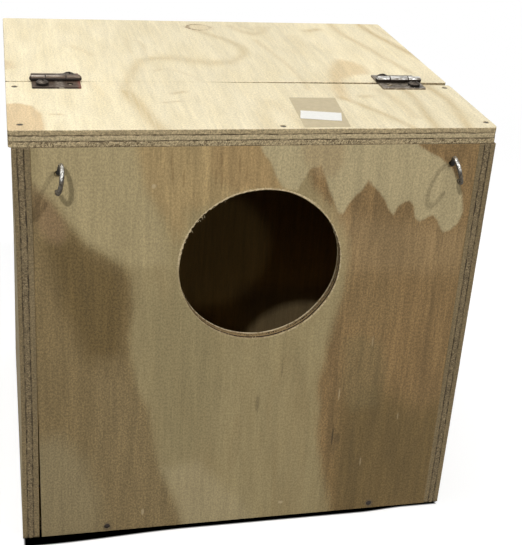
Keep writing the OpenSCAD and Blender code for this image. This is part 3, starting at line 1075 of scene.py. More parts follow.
def store_reach(piece, points, name, outline):
    """Keeps how far each point of the seen face lies inside an outline, and -40 elsewhere."""
    flat = points[:, :2]
    reach = distance_to_path(flat, outline, closed=True)
    reach = np.where(inside_polygon(flat, np.array(outline, float)), reach, -reach)
    store(piece, name, np.where(points[:, 2] < 0.6, reach, -40.0))


# %% [markdown]
# The front has been wet. A pale, greenish wash with a scalloped lower edge came down from the roof on
# the right, a brown shade spread from the left, and the wood to the right of the hole is redder.
# Later stains lie over earlier ones, so their order in the list matters.


# %% Stains of the front
def stain(colour, strength, softness, fray, outline, streaky=0.0, blend="MIX"):
    """How one stain looks, with its outline as places right of the sheet's corner and away from it."""
    return dict(colour=colour, strength=strength, softness=softness, fray=fray, outline=outline,
                streaky=streaky, blend=blend)


FRONT_STAINS = {
    "right_brown": stain(
        (0.251, 0.153, 0.063), 0.88, 3.5, 9.0, streaky=0.11, outline=[
            (144, 2), (144, 17), (151, 23.6), (154, 31), (160, 38), (167, 44), (173, 54), (178, 63),
            (179, 82), (177, 100), (174, 113), (171, 128), (170, 142), (168, 154), (170, 172),
            (171, 193), (176, 215), (183, 238), (185, 256), (254, 256), (254, -4), (144, -4)]),
    "right_brown_top": stain(
        (0.37, 0.255, 0.125), 0.55, 9.0, 12.0, streaky=0.10, outline=[
            (160, 44), (190, 52), (229, 56), (250, 60), (250, 84), (208, 84), (180, 84), (172, 62)]),
    "warm_top": stain(
        (0.44, 0.306, 0.138), 0.75, 5.0, 16.0, streaky=0.16, outline=[
            (60, 2), (124, 2), (140, 34), (90, 44), (84, 62), (78, 50), (66, 34)]),
    "brow_brown": stain(
        (0.38, 0.248, 0.108), 0.6, 3.0, 10.0, streaky=0.12, outline=[
            (98, 2), (126, 2), (134, 24), (139, 34), (112, 33), (101, 24)]),
    "khaki_shade": stain(
        (0.305, 0.244, 0.122), 0.7, 11.0, 12.0, outline=[
            (66, 96), (100, 88), (112, 130), (108, 190), (84, 214), (70, 150)]),
    # Partly a dark stain and partly painted shade, as the light falls off towards the lower right corner.
    "lower_right_shade": stain(
        (0.172, 0.117, 0.046), 0.90, 12.0, 12.0, outline=[
            (182, 168), (205, 158), (232, 176), (252, 170), (252, 252), (186, 252), (181, 225)]),
    "right_grey": stain(
        (0.215, 0.160, 0.073), 0.6, 5.0, 8.0, outline=[
            (181, 126), (190, 121), (204, 130), (208, 150), (206, 172), (190, 174), (182, 158)]),
    "right_dusk": stain(
        (0.245, 0.165, 0.073), 0.5, 6.0, 8.0, outline=[
            (178, 84), (202, 86), (212, 102), (208, 122), (180, 118)]),
    "left_brown": stain(
        (0.222, 0.154, 0.068), 0.86, 3.0, 4.5, outline=[
            (4, 28), (13, 34), (20, 38), (26, 46), (32, 55), (37, 63), (46, 68), (55, 75), (60, 84),
            (61, 100), (59, 118), (61, 135), (64, 150), (70, 162), (73, 180), (75, 195), (80, 210),
            (86, 225), (91, 240), (94, 252), (0, 252), (0, 20)]),
    "left_core": stain(
        (0.145, 0.096, 0.034), 0.85, 8.0, 6.0, outline=[
            (16, 62), (30, 56), (46, 70), (57, 79), (60, 96), (57, 124), (50, 140), (36, 128), (24, 96)]),
    "left_low_shade": stain(
        (0.27, 0.196, 0.094), 0.55, 6.0, 9.0, outline=[
            (42, 128), (56, 130), (70, 165), (78, 205), (90, 240), (90, 252), (48, 252), (40, 190)]),
    "left_low_pale": stain(
        (0.305, 0.243, 0.130), 0.75, 9.0, 9.0, outline=[
            (0, 182), (22, 178), (36, 196), (44, 222), (46, 256), (0, 256)]),
    "middle_low_pale": stain(
        (0.455, 0.370, 0.212), 0.55, 6.0, 9.0, outline=[
            (80, 205), (100, 202), (126, 232), (140, 256), (96, 256), (88, 228)]),
    "red_patch": stain(
        (0.31, 0.200, 0.105), 0.6, 3.5, 6.0, outline=[
            (11, 28), (17, 33), (22, 40), (26.5, 48.5), (27, 57), (23, 61), (18, 58), (13, 50), (11, 39)]),
    "left_edge_streak": stain(
        (0.15, 0.100, 0.042), 0.55, 2.2, 5.0, outline=[
            (10.5, 27), (14.7, 30), (18, 38), (15.5, 45), (12.4, 49), (9, 46)]),
    "pale_upper_left": stain(
        (0.455, 0.364, 0.194), 0.75, 4.0, 7.0, outline=[
            (14, 4), (60, 4), (66, 30), (76, 52), (80, 74), (62, 76), (48, 66), (38, 60), (30, 48),
            (22, 36), (14, 30)]),
    "pale_wash": stain(
        (0.500, 0.410, 0.230), 0.92, 1.0, 2.6, outline=[
            (122, 0), (126, 12), (131, 18), (134, 25), (138, 32), (146, 34), (149, 28), (152, 22),
            (158, 20), (161, 27), (164, 35), (167, 41), (169, 46), (171, 48.5), (173, 47), (175, 42),
            (178, 38), (182, 34), (184, 30), (185, 27), (187, 32), (191, 35), (195, 40), (198, 46),
            (201, 49.5), (203, 44), (206, 42), (209, 41), (212, 44), (213, 50), (216, 53.5), (219, 52),
            (223, 50), (226, 51.5), (228, 56), (231, 60.5), (235, 59), (239, 55), (241, 48), (239, 38),
            (236, 31), (231, 23), (224, 17), (216, 13), (210, 9), (209, 0)]),
    "brown_in_wash": stain(
        (0.40, 0.285, 0.145), 0.5, 3.0, 7.0, outline=[
            (147, 6), (170, 6), (170, 20), (166, 26), (159, 27), (153, 23), (148, 16)]),
}


def store_stains(name, stains, corner_places):
    piece, points = pieces[name]
    for label, look in stains.items():
        store_reach(piece, points, label, corner_places(look["outline"]))


store_stains("front_panel", FRONT_STAINS, from_top_left)
print(len(FRONT_STAINS), "stains on the front")

# %% [markdown]
# The roof shows its growth bands clearly: a loop that starts at a knot near the rear edge, an arch
# left of the middle, and long bands that lean across the right side. Each is one path with a width,
# strongest along its middle. Tan stains, two brighter sides and the knot complete the sheet.

# %% Figure of the roof
ROOF_REAR_LEFT = (-127.0, 108.0)
# Each band: width, strength, then its path.
ROOF_BANDS = [
    (3.0, 0.55, [(122, 24), (128, 33), (135, 42), (141, 53), (145, 66), (143, 79), (137, 90), (129, 99)]),
    (6.5, 0.5, [(96, 89), (108, 94), (118, 99), (130, 97)]),
    (3.6, 0.55, [(97, 90), (86, 90), (78, 95), (74, 106), (70, 118), (67, 132), (64, 144), (63, 156)]),
    (4.0, 0.85, [(63, 154), (66, 168), (68, 182), (70, 196), (73, 216)]),
    (1.1, 0.3, [(74, 46), (73, 60), (74, 78)]),
    (1.1, 0.3, [(80, 50), (83, 60), (82, 80)]),
    (1.8, 0.45, [(157, 46), (159, 60), (161, 75), (164, 92), (166, 112), (167, 134), (166, 150)]),
    (3.4, 0.42, [(147, 12), (151, 24), (158, 32), (165, 27), (171, 14)]),
    (2.0, 0.3, [(152, 6), (156, 16), (161, 20), (166, 12)]),
    (3.0, 0.75, [(197, 22), (202, 19), (206, 17)]),
    (2.6, 0.65, [(218, -2), (219, 20), (221, 35), (225, 50), (228, 65), (231, 80), (234, 95), (238, 116)]),
    (2.8, 1.0, [(239, -2), (241, 20), (244, 35), (247, 48), (250, 62), (253, 76), (256, 90)]),
    (2.0, 0.4, [(247, -2), (250, 20), (256, 45)]),
    (2.4, 0.75, [(221, 146), (224, 158), (224, 172), (221, 190), (219, 216)]),
    (3.0, 0.7, [(238, 138), (241, 155), (243, 168), (241, 186), (237, 216)]),
    (3.4, 0.45, [(208, 150), (211, 165), (213, 180), (213, 198)]),
    (2.4, 0.7, [(181, 164), (189, 178), (196, 191), (203, 206), (206, 216)]),
    (2.6, 0.6, [(194, 163), (199, 162)]),
    (2.6, 0.25, [(46, 138), (49, 156), (52, 172)]),
    (5.0, 0.28, [(128, 216), (131, 190), (138, 172), (146, 190), (149, 216)]),
    (1.3, 0.9, [(88, 158), (95, 154.5)]),
    (1.1, 0.7, [(81, 173.5), (90, 171)]),
    (1.0, 0.8, [(22, 192.5), (27, 192)]),
    (0.9, 0.6, [(83, 116), (88, 112)]),
    (2.6, 0.25, [(40, 66), (46, 76), (50, 84)]),
    (1.6, 0.22, [(92, 112), (102, 122), (107, 134)]),
    (6.0, 0.18, [(180, 40), (184, 58), (178, 74)]),
]
ROOF_STAINS = {
    "orange_flame": stain(
        (0.60, 0.445, 0.235), 0.62, 4.0, 7.0, outline=[
            (200, 88), (208, 93), (213, 104), (211, 118), (200, 123), (192, 130), (189, 142),
            (187, 156), (184, 170), (179, 168), (180, 150), (183, 134), (187, 118), (193, 101)]),
    "corner_tan": stain(
        (0.585, 0.42, 0.23), 0.75, 1.6, 4.0, outline=[
            (-6, 177), (6, 174), (13, 179), (17, 191), (18, 206), (17, 222), (-6, 222)]),
    "bright_left": stain(
        (1.085, 1.085, 1.08), 1.0, 24.0, 10.0, blend="MULTIPLY", outline=[
            (-40, -40), (62, -40), (56, 60), (66, 130), (60, 260), (-40, 260)]),
    "bright_right": stain(
        (1.10, 1.10, 1.10), 1.0, 20.0, 10.0, blend="MULTIPLY", outline=[
            (186, -40), (300, -40), (300, 132), (196, 130)]),
    "rear_warm": stain(
        (0.62, 0.47, 0.27), 0.5, 3.0, 3.0, outline=[
            (-6, 96), (4, 98), (6, 112), (-6, 118)]),
}
KNOT_CENTRE = (125.0, 16.0)


def from_rear_left(places):
    """Points measured right and forward from the roof's rear left corner, as (across, along)."""
    left, rear = ROOF_REAR_LEFT
    return [(left + right, rear - forward) for right, forward in places]


def store_bands(name, bands):
    """Keeps how strongly the growth bands show at each point of the seen face."""
    piece, points = pieces[name]
    shade = np.zeros(len(points))
    for width, strength, path in bands:
        away = distance_to_path(points[:, :2], from_rear_left(path))
        shade = np.maximum(shade, strength * np.exp(-((away / width) ** 2)))
    store(piece, "latewood", np.where(points[:, 2] < 0.6, shade, 0.0))


for name in ("roof_board", "lid_board"):
    store_bands(name, ROOF_BANDS)
    store_stains(name, ROOF_STAINS, from_rear_left)
print(len(ROOF_BANDS), "growth bands on the roof")

# %% [markdown]
# A knot is the foot of a branch, cut through. It shows a pale heart, a dark and broken ring of bark
# round it, and a brown halo. The ring is a distance from the knot's middle, bent by noise, and it is
# heavier on the left.


# %% Shared effect: knot
def build_knot():
    inputs = {"Place": PLACE, "Centre": PLACE, "Radius": ("Float", 8.0)}
    tree, given, made = start_group("Knot", inputs, {"Ring": "Float", "Halo": "Float"})
    off = vector_calc(tree, "SUBTRACT", given["Place"], given["Centre"])
    bend = stretched_noise(tree, given["Place"], (0.16, 0.16, 0.0), 4.0, 0.6)
    out = plus(tree, length(tree, off), swing(tree, bend, 6.0))
    line = mask_between(tree, off_from(tree, out, given["Radius"]), 1.5, 0.4)
    heavy = mask_between(tree, split(tree, off)[0], 4.0, -4.0, 0.35, 1.0)
    gaps = stretched_noise(tree, given["Place"], (0.22, 0.3, 0.0), 3.0)
    gaps = mask_between(tree, gaps, 0.40, 0.55, 0.25, 1.0)
    plug(tree, times(tree, line, heavy, gaps), made["Ring"])
    halo = mask_between(tree, out, plus(tree, given["Radius"], 5.0), given["Radius"])
    plug(tree, halo, made["Halo"])
    return tree


knot = build_knot()
KNOT_LOOK = dict(at=from_rear_left([KNOT_CENTRE])[0], radius=7.4)

# %% [markdown]
# ## One finish for all the boards
#
# The finish is put together in the order in which the real surface came about: veneer and its
# figure, stains, sawn edges, glue lines and last the small marks. Every board calls the same
# function with its own colours. The Principled shader stays here, outside the groups.

# %% Layers of the finish
# A stain with less red than this is dark, and the grain shows this much stronger under it.
DARK_STAIN_RED = 0.29
DARK_STAIN_CONTRAST = 0.7


def stored(tree, name):
    """A value that was painted into the mesh."""
    return add_node(tree, "Attribute", {}, attribute_name=name).outputs["Fac"]


def board_directions(tree, board):
    """The board's place in millimetres and its normal, both as across, along and through."""
    source = add_node(tree, "TexCoord", {}).outputs
    where, turned = split(tree, source["Object"]), split(tree, source["Normal"])
    across, along = [times(tree, where[axis], 1 / MM) for axis in (board.across, board.along)]
    depth = times(tree, where[board.through], -board.outward / MM)
    depth = plus(tree, depth, board.outward * board.skin)
    if board.bow:
        depth = less(tree, depth, stored(tree, "bow"))
    outward = times(tree, turned[board.through], float(board.outward))
    facing = combined(tree, turned[board.across], turned[board.along], outward)
    return combined(tree, across, along, depth), facing


def add_knot(tree, place, colour, look):
    """Darkens a knot's halo a little and its ring a lot."""
    centre = (*look["at"], 0.0)
    found = use_group(tree, knot, {"Place": place, "Centre": centre, "Radius": look["radius"]})
    colour = lay_over(tree, colour, (0.60, 0.46, 0.27), found["Halo"], 0.30)
    return lay_over(tree, colour, (0.20, 0.125, 0.060), found["Ring"], 0.85)


def lay_stains(tree, place, colour, stains, bands):
    """Lays stains over the wood: returns the colour, and how much contrast the dark ones add."""
    contrast = 0.0
    for name, look in stains.items():
        inputs = {"Place": place, "Reach": stored(tree, name)}
        inputs.update({"Fray": look["fray"], "Softness": look["softness"]})
        amount = times(tree, use_group(tree, stain_edge, inputs)["Stain"], look["strength"])
        tint = look["colour"]
        if look["streaky"]:
            lift = mask_between(tree, bands, 0.36, 0.64, 1 - look["streaky"], 1 + look["streaky"])
            tint = scaled(tree, tint, lift)
        colour = mix_tone(tree, amount, colour, tint, look["blend"])
        added = DARK_STAIN_CONTRAST if look["colour"][0] < DARK_STAIN_RED else 0.0
        contrast = mix_value(tree, amount, contrast, added)
    return colour, contrast


def grain_shade(tree, fibres, streaks, fuzziness, contrast):
    """How much lighter or darker than its colour the grain makes each point of the wood."""
    streak = mask_between(tree, fibres["Streak"], 0.34, 0.66, 1 - 0.22 * streaks, 1 + 0.16 * streaks)
    fine = mask_between(tree, fibres["Fibre"], 0.30, 0.72, 1 - 0.13 * streaks, 1 + 0.12 * streaks)
    fuzz = mask_between(tree, fibres["Fuzz"], 0.38, 0.62, 1 - fuzziness, 1 + fuzziness)
    band = mask_between(tree, fibres["Band"], 0.34, 0.66, 1 - 0.2 * streaks, 1 + 0.2 * streaks)
    shade = times(tree, times(tree, streak, fine), times(tree, fuzz, band))
    return calc(tree, "POWER", shade, plus(tree, 1.0, contrast))


def hidden_wood(tree, board, woods, right, up):
    """The wood inside the box. A low corner of the back panel, seen through the hole, has painted shade."""
    if board.node != "back_panel":
        return woods["inside"]
    # Painted shade: darkens the low corner where the lamp's patch of light falls, to dim that patch.
    low, at_corner = mask_between(tree, up, 62.0, 36.0), mask_between(tree, right, 22.0, 50.0)
    return lay_over(tree, woods["inside"], woods["soiled"], low, at_corner)


def lay_marks(tree, place, colour, marks, on_edge):
    """Draws small marks on the faces of a board."""
    for mark in marks:
        inputs = {"Place": place, "Centre": (*mark["at"], 0.0)}
        inputs.update({"Half width": mark["wide"], "Half length": mark["long"]})
        spot = use_group(tree, small_mark, inputs)
        on_face = less(tree, 1.0, on_edge)
        colour = lay_over(tree, colour, mark["colour"], spot["Mark"], mark["strength"], on_face)
    return colour


print("layers of the finish ready")

# %% [markdown]
# One function now lays them in order. The grain is worked out once and shades the faces, the sawn
# edges and the hidden wood alike. Only the edges get saw marks, glue lines and grit, so a mask of
# where the surface turns away from the faces comes in often.


# %% Plywood finish
def plywood(name, board, woods, stains=None, marks=(), figure=None, streaks=0.5, fuzziness=0.07,
            knot_look=None, rim=None):
    """The finish of one board. Woods are its colours, and figure and rim are socket makers or None."""
    material, tree, shader = new_material(name)
    place, facing = board_directions(tree, board)
    inputs = {"Place": place, "Thickness": board.thickness, "Face ply": board.face_ply}
    layers = use_group(tree, ply_layers, inputs)
    core, glue = layers["Core"], layers["Glue"]
    fibres = use_group(tree, veneer_fibres, {"Place": place, "Core": core})
    saw = use_group(tree, saw_tear, {"Place": place, "Facing": facing, "Core": core})
    growth = stored(tree, "latewood") if figure is None else figure(tree, place)
    ragged = mask_between(tree, fibres["Streak"], 0.30, 0.62, 0.45, 1.15)
    tone = mask_between(tree, fibres["Tone"], 0.30, 0.70)
    colour = mix_tone(tree, tone, woods["early"], woods["early_alt"])
    colour = lay_over(tree, colour, woods["late"], growth, ragged)
    if knot_look:
        colour = add_knot(tree, place, colour, knot_look)
    colour, contrast = lay_stains(tree, place, colour, stains or {}, fibres["Band"])
    shade = grain_shade(tree, fibres, streaks, fuzziness, contrast)
    colour = lay_over(tree, scaled(tree, colour, shade), woods["dash"], fibres["Dash"], 0.22)

    right, up, deep = split(tree, place)
    thick = split(tree, facing)[2]
    on_edge = mask_between(tree, calc(tree, "ABSOLUTE", thick), 0.90, 0.60)
    grit = stretched_noise(tree, place, (1.0, 1.0, 1.0), 3.0, 0.8)
    grit = mask_between(tree, grit, 0.38, 0.62, 0.70, 1.30)
    sawn = mix_tone(tree, saw["End grain"], woods["long_edge"], woods["end_edge"])
    colour = mix_tone(tree, on_edge, colour, scaled(tree, sawn, times(tree, shade, grit)))
    hidden = scaled(tree, hidden_wood(tree, board, woods, right, up), shade)
    colour = mix_tone(tree, mask_between(tree, thick, -0.6, -0.9), colour, hidden)
    far_side = calc(tree, "GREATER_THAN", deep, board.thickness / 2)
    torn = mix_value(tree, far_side, float(board.torn[0]), float(board.torn[1]))
    for label, wood, strength in (("Tear", "tear", 0.8), ("Chip", "chip", 0.6)):
        amount = calc(tree, "MULTIPLY", times(tree, saw[label], torn), strength, clamp=True)
        colour = mix_tone(tree, amount, colour, woods[wood])
    colour = lay_over(tree, colour, woods["glue"], glue, on_edge, 0.9)
    if rim:
        colour = rim(tree, place, thick, colour)
    colour = lay_marks(tree, place, colour, marks, on_edge)

    plug(tree, colour, shader.inputs["Base Color"])
    plug(tree, mask_between(tree, fibres["Streak"], 0.3, 0.7, 0.62, 0.78), shader.inputs["Roughness"])
    shader.inputs["Specular IOR Level"].default_value = 0.28
    rough = times(tree, saw["Tear"], -1.6)
    pitted = times(tree, glue, on_edge, -1.2)
    height = plus(tree, fibres["Height"], plus(tree, rough, pitted))
    add_bump(tree, shader, height, 0.55, 0.00022)
    return material


# %% [markdown]
# Now the boards get their woods. The front and sides have greyed and browned in the open, the roof
# is fresher and paler. Marks are small things at known places: a slit, scratches that show pale
# wood, brown streaks and the dark rings that iron leaves round its nails.

# %% Woods of the walls
WALL_WOODS = dict(
    early=(0.390, 0.310, 0.158), early_alt=(0.350, 0.272, 0.134), late=(0.28, 0.200, 0.094),
    dash=(0.24, 0.165, 0.075), long_edge=(0.225, 0.168, 0.088), end_edge=(0.255, 0.192, 0.104),
    tear=(0.070, 0.047, 0.024), chip=(0.50, 0.395, 0.235), glue=(0.022, 0.014, 0.007),
    # The last colour is painted shade for a low corner of the back wall.
    inside=(0.37, 0.236, 0.076), soiled=(0.150, 0.108, 0.052))
SLIT = (0.075, 0.052, 0.026)
PALE_SCRATCH = (0.66, 0.53, 0.33)
IRON_STAIN = (0.12, 0.088, 0.055)


def front_mark(right, down, wide, long, colour, strength):
    return dict(at=from_top_left([(right, down)])[0], wide=wide, long=long, colour=colour,
                strength=strength)


BROWN_STREAK = (0.20, 0.125, 0.050)
BROWN_STREAKS = [(79.8, 16), (80.5, 24.1), (86.2, 25.8), (105.3, 16.3), (105.8, 27.3), (102.6, 26.1),
                 (114.7, 19.2), (118.7, 24.7), (196, 92), (207, 118), (190, 141), (213, 152), (188, 176)]
FRONT_MARKS = [
    front_mark(180.2, 191, 0.6, 8.5, SLIT, 0.95),
    front_mark(183, 193, 2.0, 4.0, SLIT, 0.45),
    front_mark(182, 200, 0.9, 6.0, SLIT, 0.35),
    front_mark(133, 165, 1.5, 6.0, SLIT, 0.35),
    front_mark(146, 143, 0.7, 6.0, SLIT, 0.25),
    front_mark(181.5, 162, 0.5, 4.5, PALE_SCRATCH, 0.4),
    front_mark(219.5, 180, 0.5, 3.0, PALE_SCRATCH, 0.3),
    front_mark(199.5, 211, 0.5, 3.6, PALE_SCRATCH, 0.32),
    front_mark(198, 128, 0.5, 3.6, PALE_SCRATCH, 0.32),
    front_mark(152, 236.5, 1.8, 1.1, PALE_SCRATCH, 0.5),
    front_mark(69, 235, 0.8, 3.0, PALE_SCRATCH, 0.45),
    front_mark(71, 30, 1.3, 1.3, PALE_SCRATCH, 0.5),
] + [front_mark(right, down, 0.7, 5.5, BROWN_STREAK, 0.4) for right, down in BROWN_STREAKS]
FRONT_MARKS += [
    dict(at=(across, FRONT_NAIL_HEIGHT), wide=2.6, long=3.4, colour=IRON_STAIN, strength=0.75)
    for across in front_nails
]
print(len(FRONT_MARKS), "small marks on the front")

# %% [markdown]
# The rim of the entry hole shows where the saw and many claws have been. Its arris is torn pale at
# the upper left and specked elsewhere. Behind it run dark, broken lines where glue and dirt sit, and
# the arris on the far side is pale again. Each line is a band of distance or of depth, cut by noise.

# %% Rim of the entry hole
WARM_RIM = (0.40, 0.265, 0.120)
PALE_RIM = (0.80, 0.65, 0.40)
BACK_RIM = (0.80, 0.66, 0.42)
DARK_RIM = (0.022, 0.013, 0.006)
# Bands outside the hole's radius, in millimetres, each from nothing to full.
TORN_BAND = (ENTRY_RADIUS + 1.55, ENTRY_RADIUS + 1.15)
SPECK_BAND = (ENTRY_RADIUS + 0.95, ENTRY_RADIUS + 0.60)
RIM_BAND = (ENTRY_RADIUS + 2.2, ENTRY_RADIUS + 1.4)
# Lines on the rim: depth from the front, and half width.
GLUE_LINE = (1.35, 0.60)
DIRT_LINE = (3.6, 1.0)


def rim_line(tree, depth, middle, half):
    """1 at a depth in the wood, and 0 a little in front of it and behind it."""
    return mask_between(tree, off_from(tree, depth, middle), half, half * 0.6)


def worn_rim(tree, place, thick, colour):
    """The hole's rim: a pale torn arris, dark broken lines behind it and a pale line at the back."""
    x, y, depth = split(tree, place)
    right = less(tree, x, ENTRY_CENTRE[0])
    up = less(tree, y, ENTRY_CENTRE[1])
    squares = [calc(tree, "POWER", side, 2.0) for side in (right, up)]
    away = calc(tree, "SQRT", plus(tree, *squares))
    broken = stretched_noise(tree, place, (0.45, 0.45, 0.3), 5.0, 0.75)
    fine = stretched_noise(tree, place, (1.1, 1.1, 0.5), 3.0, 0.75)
    frayed = plus(tree, away, swing(tree, fine, 2.6))

    upper_left = mask_between(tree, less(tree, up, times(tree, right, 0.45)), 14.0, 30.0)
    lit = mask_between(tree, broken, 0.38, 0.56, 0.40, 1.0)
    lit = times(tree, mask_between(tree, frayed, *TORN_BAND), lit)
    specks = mask_between(tree, broken, 0.44, 0.54)
    specks = times(tree, specks, mask_between(tree, frayed, *SPECK_BAND))
    towards_upper_right = mask_between(tree, plus(tree, right, up), -40.0, -16.0, 0.25, 0.8)
    specks = times(tree, specks, towards_upper_right)
    pale = calc(tree, "MAXIMUM", times(tree, upper_left, lit), specks)
    colour = lay_over(tree, colour, PALE_RIM, pale, mask_between(tree, depth, 0.9, 0.5), 0.85)

    upright = mask_between(tree, calc(tree, "ABSOLUTE", thick), 0.8, 0.5)
    on_rim = times(tree, mask_between(tree, away, *RIM_BAND), upright)
    colour = lay_over(tree, colour, WARM_RIM, on_rim, 0.6)
    first = times(tree, rim_line(tree, depth, *GLUE_LINE), mask_between(tree, broken, 0.34, 0.46))
    second = times(tree, rim_line(tree, depth, *DIRT_LINE), mask_between(tree, fine, 0.50, 0.58))
    lower_right = mask_between(tree, less(tree, right, up), 20.0, 45.0, 0.35, 1.0)
    dark = calc(tree, "MAXIMUM", first, times(tree, second, lower_right))
    colour = lay_over(tree, colour, DARK_RIM, dark, on_rim)
    far_arris = mask_between(tree, depth, 4.9, 5.2)
    return lay_over(tree, colour, BACK_RIM, on_rim, far_arris, mask_between(tree, broken, 0.36, 0.50), 0.85)


print("rim of the entry hole ready")

# %% [markdown]
# The front wears its own stains, marks and rim. The other walls and the floor have no drawn figure,
# so they take the growth bands made from noise, each with its own number of bands.


# %% Finish the walls
def quiet_figure(strength, bands):
    """Growth bands at a given strength, for boards whose figure isn't drawn by hand."""
    def figure(tree, place):
        found = use_group(tree, growth_bands, {"Place": place, "Bands": bands})[0]
        return times(tree, found, strength)
    return figure


front_ply = plywood(
    "front_plywood", front, WALL_WOODS, FRONT_STAINS, FRONT_MARKS, quiet_figure(0.22, 5.0),
    streaks=0.33, fuzziness=0.15, rim=worn_rim)
front_piece.data.materials.append(front_ply)
for number, name in enumerate(("left_panel", "right_panel", "back_panel", "floor_panel")):
    side_ply = plywood(name + "_plywood", BOARDS[name], WALL_WOODS, figure=quiet_figure(0.5, 7.0 + number))
    pieces[name][0].data.materials.append(side_ply)
print("walls finished")

# %% [markdown]
# The roof boards share one set of woods, one drawn figure and one knot, because they came from one
# sheet. Their streaks are fainter than the front's, as fresh wood shows less contrast.

# %% Woods of the roof
ROOF_WOODS = dict(
    early=(0.785, 0.695, 0.488), early_alt=(0.725, 0.630, 0.420), late=(0.560, 0.440, 0.245),
    dash=(0.45, 0.33, 0.17), long_edge=(0.480, 0.385, 0.225), end_edge=(0.500, 0.392, 0.222),
    tear=(0.115, 0.080, 0.040), chip=(0.74, 0.62, 0.40), glue=(0.085, 0.060, 0.032),
    inside=(0.40, 0.265, 0.10))
for name in ("roof_board", "lid_board"):
    roof_ply = plywood(
        name + "_plywood", BOARDS[name], ROOF_WOODS, ROOF_STAINS, streaks=0.24, fuzziness=0.105,
        knot_look=KNOT_LOOK)
    pieces[name][0].data.materials.append(roof_ply)
print("roof finished")

# %% [markdown]
# ## Steel parts
#
# The steel keeps the shapes of the CAD, but real edges aren't razor sharp, so each part is copied,
# its flat faces are merged again and its sharp edges get a narrow bevel. The copy may be bent or
# pressed a little on the way. It then stands in for the CAD part.


# %% Softened steel parts
FLAT_ANGLE = math.radians(1.0)
BEVEL_ANGLE = math.radians(35)
SHARP_ANGLE = math.radians(42)


def softened(node, width=0.15, segments=2, rounds=0, move=None):
    """A copy of a steel part with merged faces and bevelled or rounded edges. Sizes in mm."""
    source = frame["nodes"][node]
    mesh = source.data.copy()
    form = bmesh.new()
    form.from_mesh(mesh)
    bmesh.ops.remove_doubles(form, verts=form.verts, dist=1e-6)
    if move is not None:
        for vertex in form.verts:
            vertex.co = Vector(move(*(vertex.co / MM))) * MM
    if not rounds:
        bmesh.ops.dissolve_limit(form, angle_limit=FLAT_ANGLE, verts=form.verts, edges=form.edges)
    form.to_mesh(mesh)
    form.free()
    mesh.materials.clear()
    piece = put_in_scene(node + "_steel", mesh)
    if width:
        bevel = piece.modifiers.new("bevel", "BEVEL")
        bevel.width = width * MM
        bevel.segments = segments
        bevel.angle_limit = BEVEL_ANGLE
    if rounds:
        smooth = piece.modifiers.new("round", "SUBSURF")
        smooth.levels = smooth.render_levels = rounds
    built = piece.evaluated_get(bpy.context.evaluated_depsgraph_get())
    finished = bpy.data.meshes.new_from_object(built)
    piece.modifiers.clear()
    piece.data = finished
    finished.shade_smooth()
    finished.set_sharp_from_angle(angle=SHARP_ANGLE)
    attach(piece, source["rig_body"])
    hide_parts(node)
    return piece


# %% [markdown]
# Worn steel is three things over one another: the bare metal, a brown film that grows in blotches,
# and near-black where a surface faces down, a painted shade and painted reflection of dark
# surroundings. So the finish looks at how far a surface faces down. Fine scratches run along the
# part. A part may add its own touches with a function that returns its colour and, or None, a mask
# of where painted shade has taken the metal's shine.


# %% Shared effect: worn steel
def build_worn_steel():
    inputs = {
        "Place": PLACE,
        "Facing": PLACE,
        "Bare": ("Color", (0.5, 0.5, 0.5, 1)),
        "Film": ("Color", (0.2, 0.15, 0.1, 1)),
        "Film amount": ("Float", 0.5),
        "Grime": ("Float", 0.5),
    }
    outputs = {"Colour": "Color", "Roughness": "Float", "Height": "Float"}
    tree, given, made = start_group("Worn steel", inputs, outputs)
    place = given["Place"]
    blotch = stretched_noise(tree, place, (0.28, 0.45, 0.45), 5.0, 0.65)
    speck = stretched_noise(tree, place, (1.5, 1.8, 1.8), 4.0, 0.7)
    scratch = stretched_noise(tree, place, (0.25, 4.2, 4.2), 3.0, 0.6)
    full = less(tree, 0.80, times(tree, given["Film amount"], 0.5))
    film = times(tree, mask_between(tree, blotch, less(tree, full, 0.22), full), 0.75)
    film = calc(tree, "MAXIMUM", film, mask_between(tree, speck, 0.6, 0.72))
    colour = mix_tone(tree, film, given["Bare"], given["Film"])
    colour = scaled(tree, colour, mask_between(tree, scratch, 0.30, 0.72, 0.78, 1.22))
    # Painted shade and painted reflection of dark surroundings: near-black where a surface faces down.
    soiled = plus(tree, split(tree, given["Facing"])[2], swing(tree, blotch, 0.7))
    underside_shade = times(tree, mask_between(tree, soiled, 0.62, 0.22), given["Grime"])
    plug(tree, mix_tone(tree, underside_shade, colour, (0.020, 0.015, 0.012)), made["Colour"])
    rough = mask_between(tree, calc(tree, "MAXIMUM", film, underside_shade), 0.0, 1.0, 0.26, 0.58)
    plug(tree, rough, made["Roughness"])
    plug(tree, plus(tree, times(tree, speck, 0.6), scratch), made["Height"])
    return tree


worn_steel = build_worn_steel()
# The share of its metallic value that a part keeps under its painted shade.
SHADE_METALLIC_SHARE = 0.6


def object_place(tree):
    """The place in millimetres and the normal, in the object's own axes."""
    source = add_node(tree, "TexCoord", {}).outputs
    return scaled(tree, source["Object"], 1 / MM), source["Normal"]


def steel(name, bare, film, film_amount, underside_shade, metallic=0.9, extra=None, relief=0.00008):
    """A steel finish from its bare colour, its film, and how much painted shade its undersides take."""
    material, tree, shader = new_material(name)
    place, facing = object_place(tree)
    inputs = {"Place": place, "Facing": facing, "Bare": (*bare, 1), "Film": (*film, 1)}
    inputs.update({"Film amount": film_amount, "Grime": underside_shade})
    look = use_group(tree, worn_steel, inputs)
    colour, dull = look["Colour"], None
    if extra is not None:
        colour, dull = extra(tree, place, facing, colour)
    plug(tree, colour, shader.inputs["Base Color"])
    plug(tree, look["Roughness"], shader.inputs["Roughness"])
    if dull is None:
        shader.inputs["Metallic"].default_value = metallic
    else:
        shine = mask_between(tree, dull, 0.0, 1.0, metallic, SHADE_METALLIC_SHARE * metallic)
        plug(tree, shine, shader.inputs["Metallic"])
    add_bump(tree, shader, look["Height"], 0.35, relief)
    return material


print("worn steel ready")
